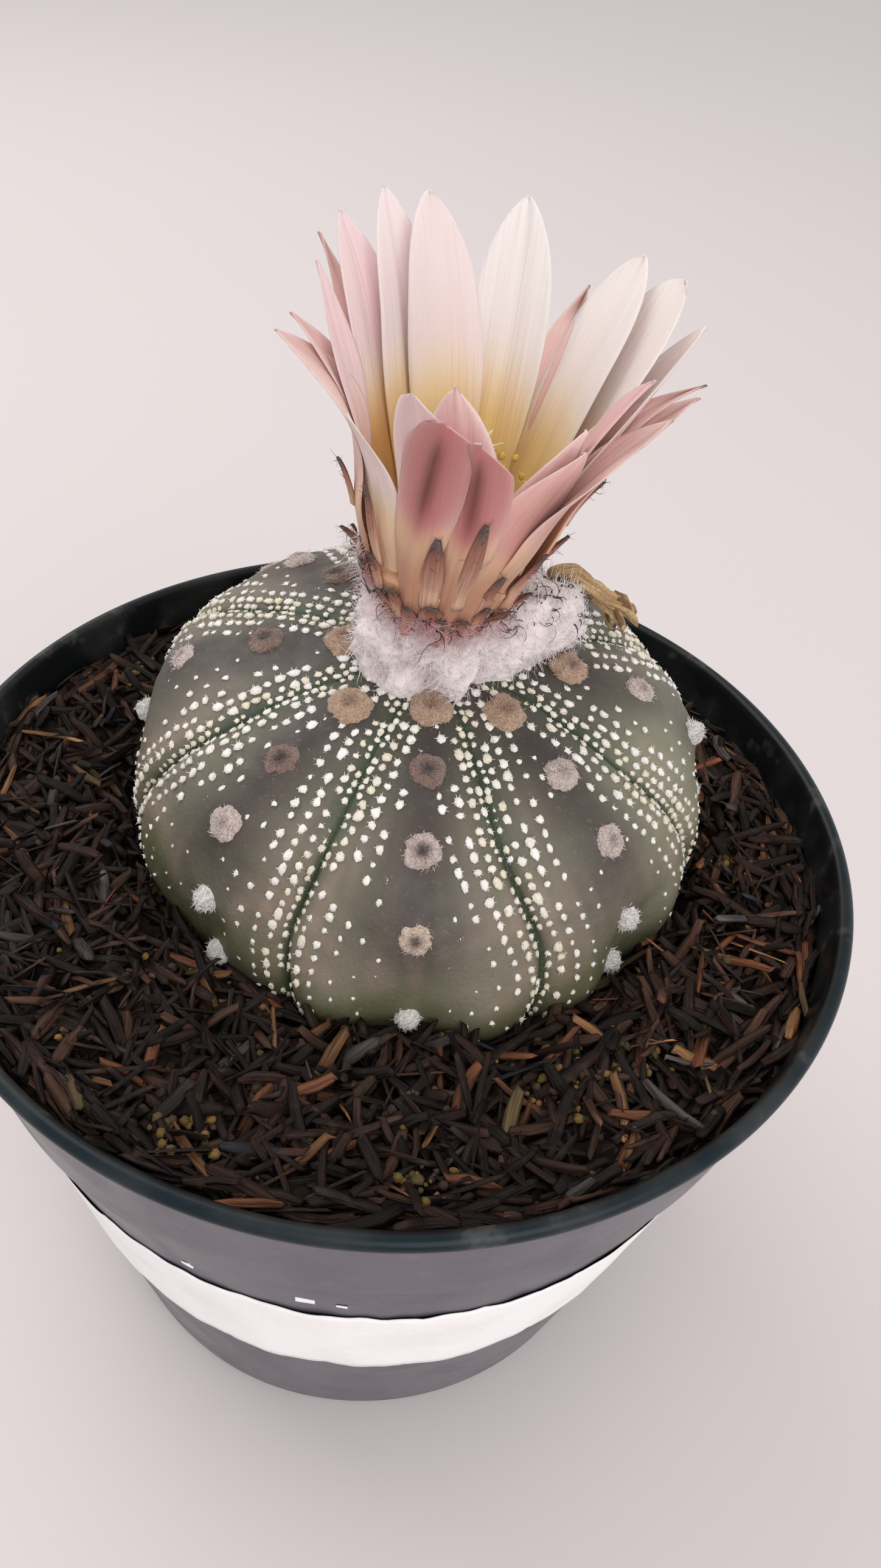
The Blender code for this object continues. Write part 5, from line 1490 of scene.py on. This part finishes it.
withered_surface = closed_tubes(rings[None], path[:1] - way[:1] * 0.6, path[-1:] - way[-1:] * 4.0)
grain = soft_noise(points_of(twist * 4, share * 3), 1.5, 152)
tint = painted(
    grain.shape,
    (0.45, 0.29, 0.14),
    (0.7 * ease(-0.1, 1.3, grain), (0.24, 0.13, 0.06)),
    (0.6 * ease(0.0, 1.3, -grain), (0.70, 0.56, 0.32)),
    (0.6 * (1 - ease(0.0, 0.25, share)), (0.16, 0.10, 0.07)),
)
mouth_tint = painted((3 * WITHERED_SIDES,), (0.17, 0.09, 0.04))
tint = np.concatenate([tint.reshape(-1, 3), mouth_tint, [(0.2, 0.12, 0.06), (0.1, 0.05, 0.03)]])
shreds = ((0.0008, 4.0), (0.45, 0.75, 0.0, 0.6), (0.20, 0.11, 0.05))
straw_finish = grained_finish("dry_straw", 0.75, *shreds, depth=0.0005, glow=0.15, reach=0.001)
withered = new_piece("withered_bloom", withered_surface, straw_finish, tint)
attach(withered, "root")
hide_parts("withered_flower")

# Floor, lights and camera
# A plain pale floor, a pale sky, a wide soft lamp high behind the plant and a weak one in front.
# The camera looks down from in front, where the photograph was taken.

FLOOR_HALF = 4000.0
SKY_COLOUR = (1.0, 0.985, 0.97, 1.0)
SKY_STRENGTH = 0.78
LAMP_TARGET = (0, 0, 0.1)
CAMERA_PLACE = (0.0, -0.13903, 0.24658)
CAMERA_RIGHT = (0.99550, 0.03459, 0.08825)
CAMERA_UP = (-0.08801, 0.68291, 0.72518)
CAMERA_BACK = (-0.03518, -0.72969, 0.68288)
SENSOR = 36.0
# Pixels
PICTURE_HEIGHT = 2576
FOCAL_LENGTH = 1936.5

floor_grain = ((0.4, 3.0), (0.0, 1.0), (0.67, 0.615, 0.620), (0.690, 0.635, 0.640))
floor_finish = grained_finish("pale_floor", 0.6, *floor_grain)
floor_points = FLOOR_HALF * np.array([(-1, -1, 0), (1, -1, 0), (1, 1, 0), (-1, 1, 0)])
floor = new_piece("pale_floor", (floor_points, [np.array([[0, 1, 2, 3]])]), floor_finish)

world = bpy.data.worlds.new("pale_room")
world.use_nodes = True
sky = world.node_tree.nodes["Background"]
sky.inputs["Color"].default_value = SKY_COLOUR
sky.inputs["Strength"].default_value = SKY_STRENGTH
bpy.context.scene.world = world


def stand(name, thing, right, up, back, place):
    """Puts a lamp or a camera in the scene at a place, with the ways of its own axes."""
    holder = bpy.data.objects.new(name, thing)
    rows = np.column_stack([right, up, back, place])
    holder.matrix_world = Matrix([*rows.tolist(), (0, 0, 0, 1)])
    bpy.context.scene.collection.objects.link(holder)
    return holder


def soft_lamp(name, power, width, place, colour):
    """Square area lamp at a place, facing the plant, in metres and watts."""
    lamp = bpy.data.lights.new(name, "AREA")
    lamp.energy = power
    lamp.size = width
    lamp.color = colour
    back = unit(np.array(place) - np.array(LAMP_TARGET))
    right = unit(np.cross([0.0, 0.0, 1.0], back))
    stand(name, lamp, right, np.cross(back, right), back, place)


soft_lamp("high_window", 5.0, 0.9, (-0.55, 0.50, 0.95), (1.0, 0.985, 0.96))
soft_lamp("front_fill", 4.4, 0.8, (0.35, -0.75, 0.60), (1.0, 0.97, 0.95))

camera = bpy.data.cameras.new("camera")
camera.sensor_width = SENSOR
camera.lens = FOCAL_LENGTH / PICTURE_HEIGHT * SENSOR
camera.clip_start = 0.005
camera_holder = stand("camera", camera, CAMERA_RIGHT, CAMERA_UP, CAMERA_BACK, CAMERA_PLACE)
bpy.context.scene.camera = camera_holder
bpy.context.scene.view_settings.view_transform = "Standard"
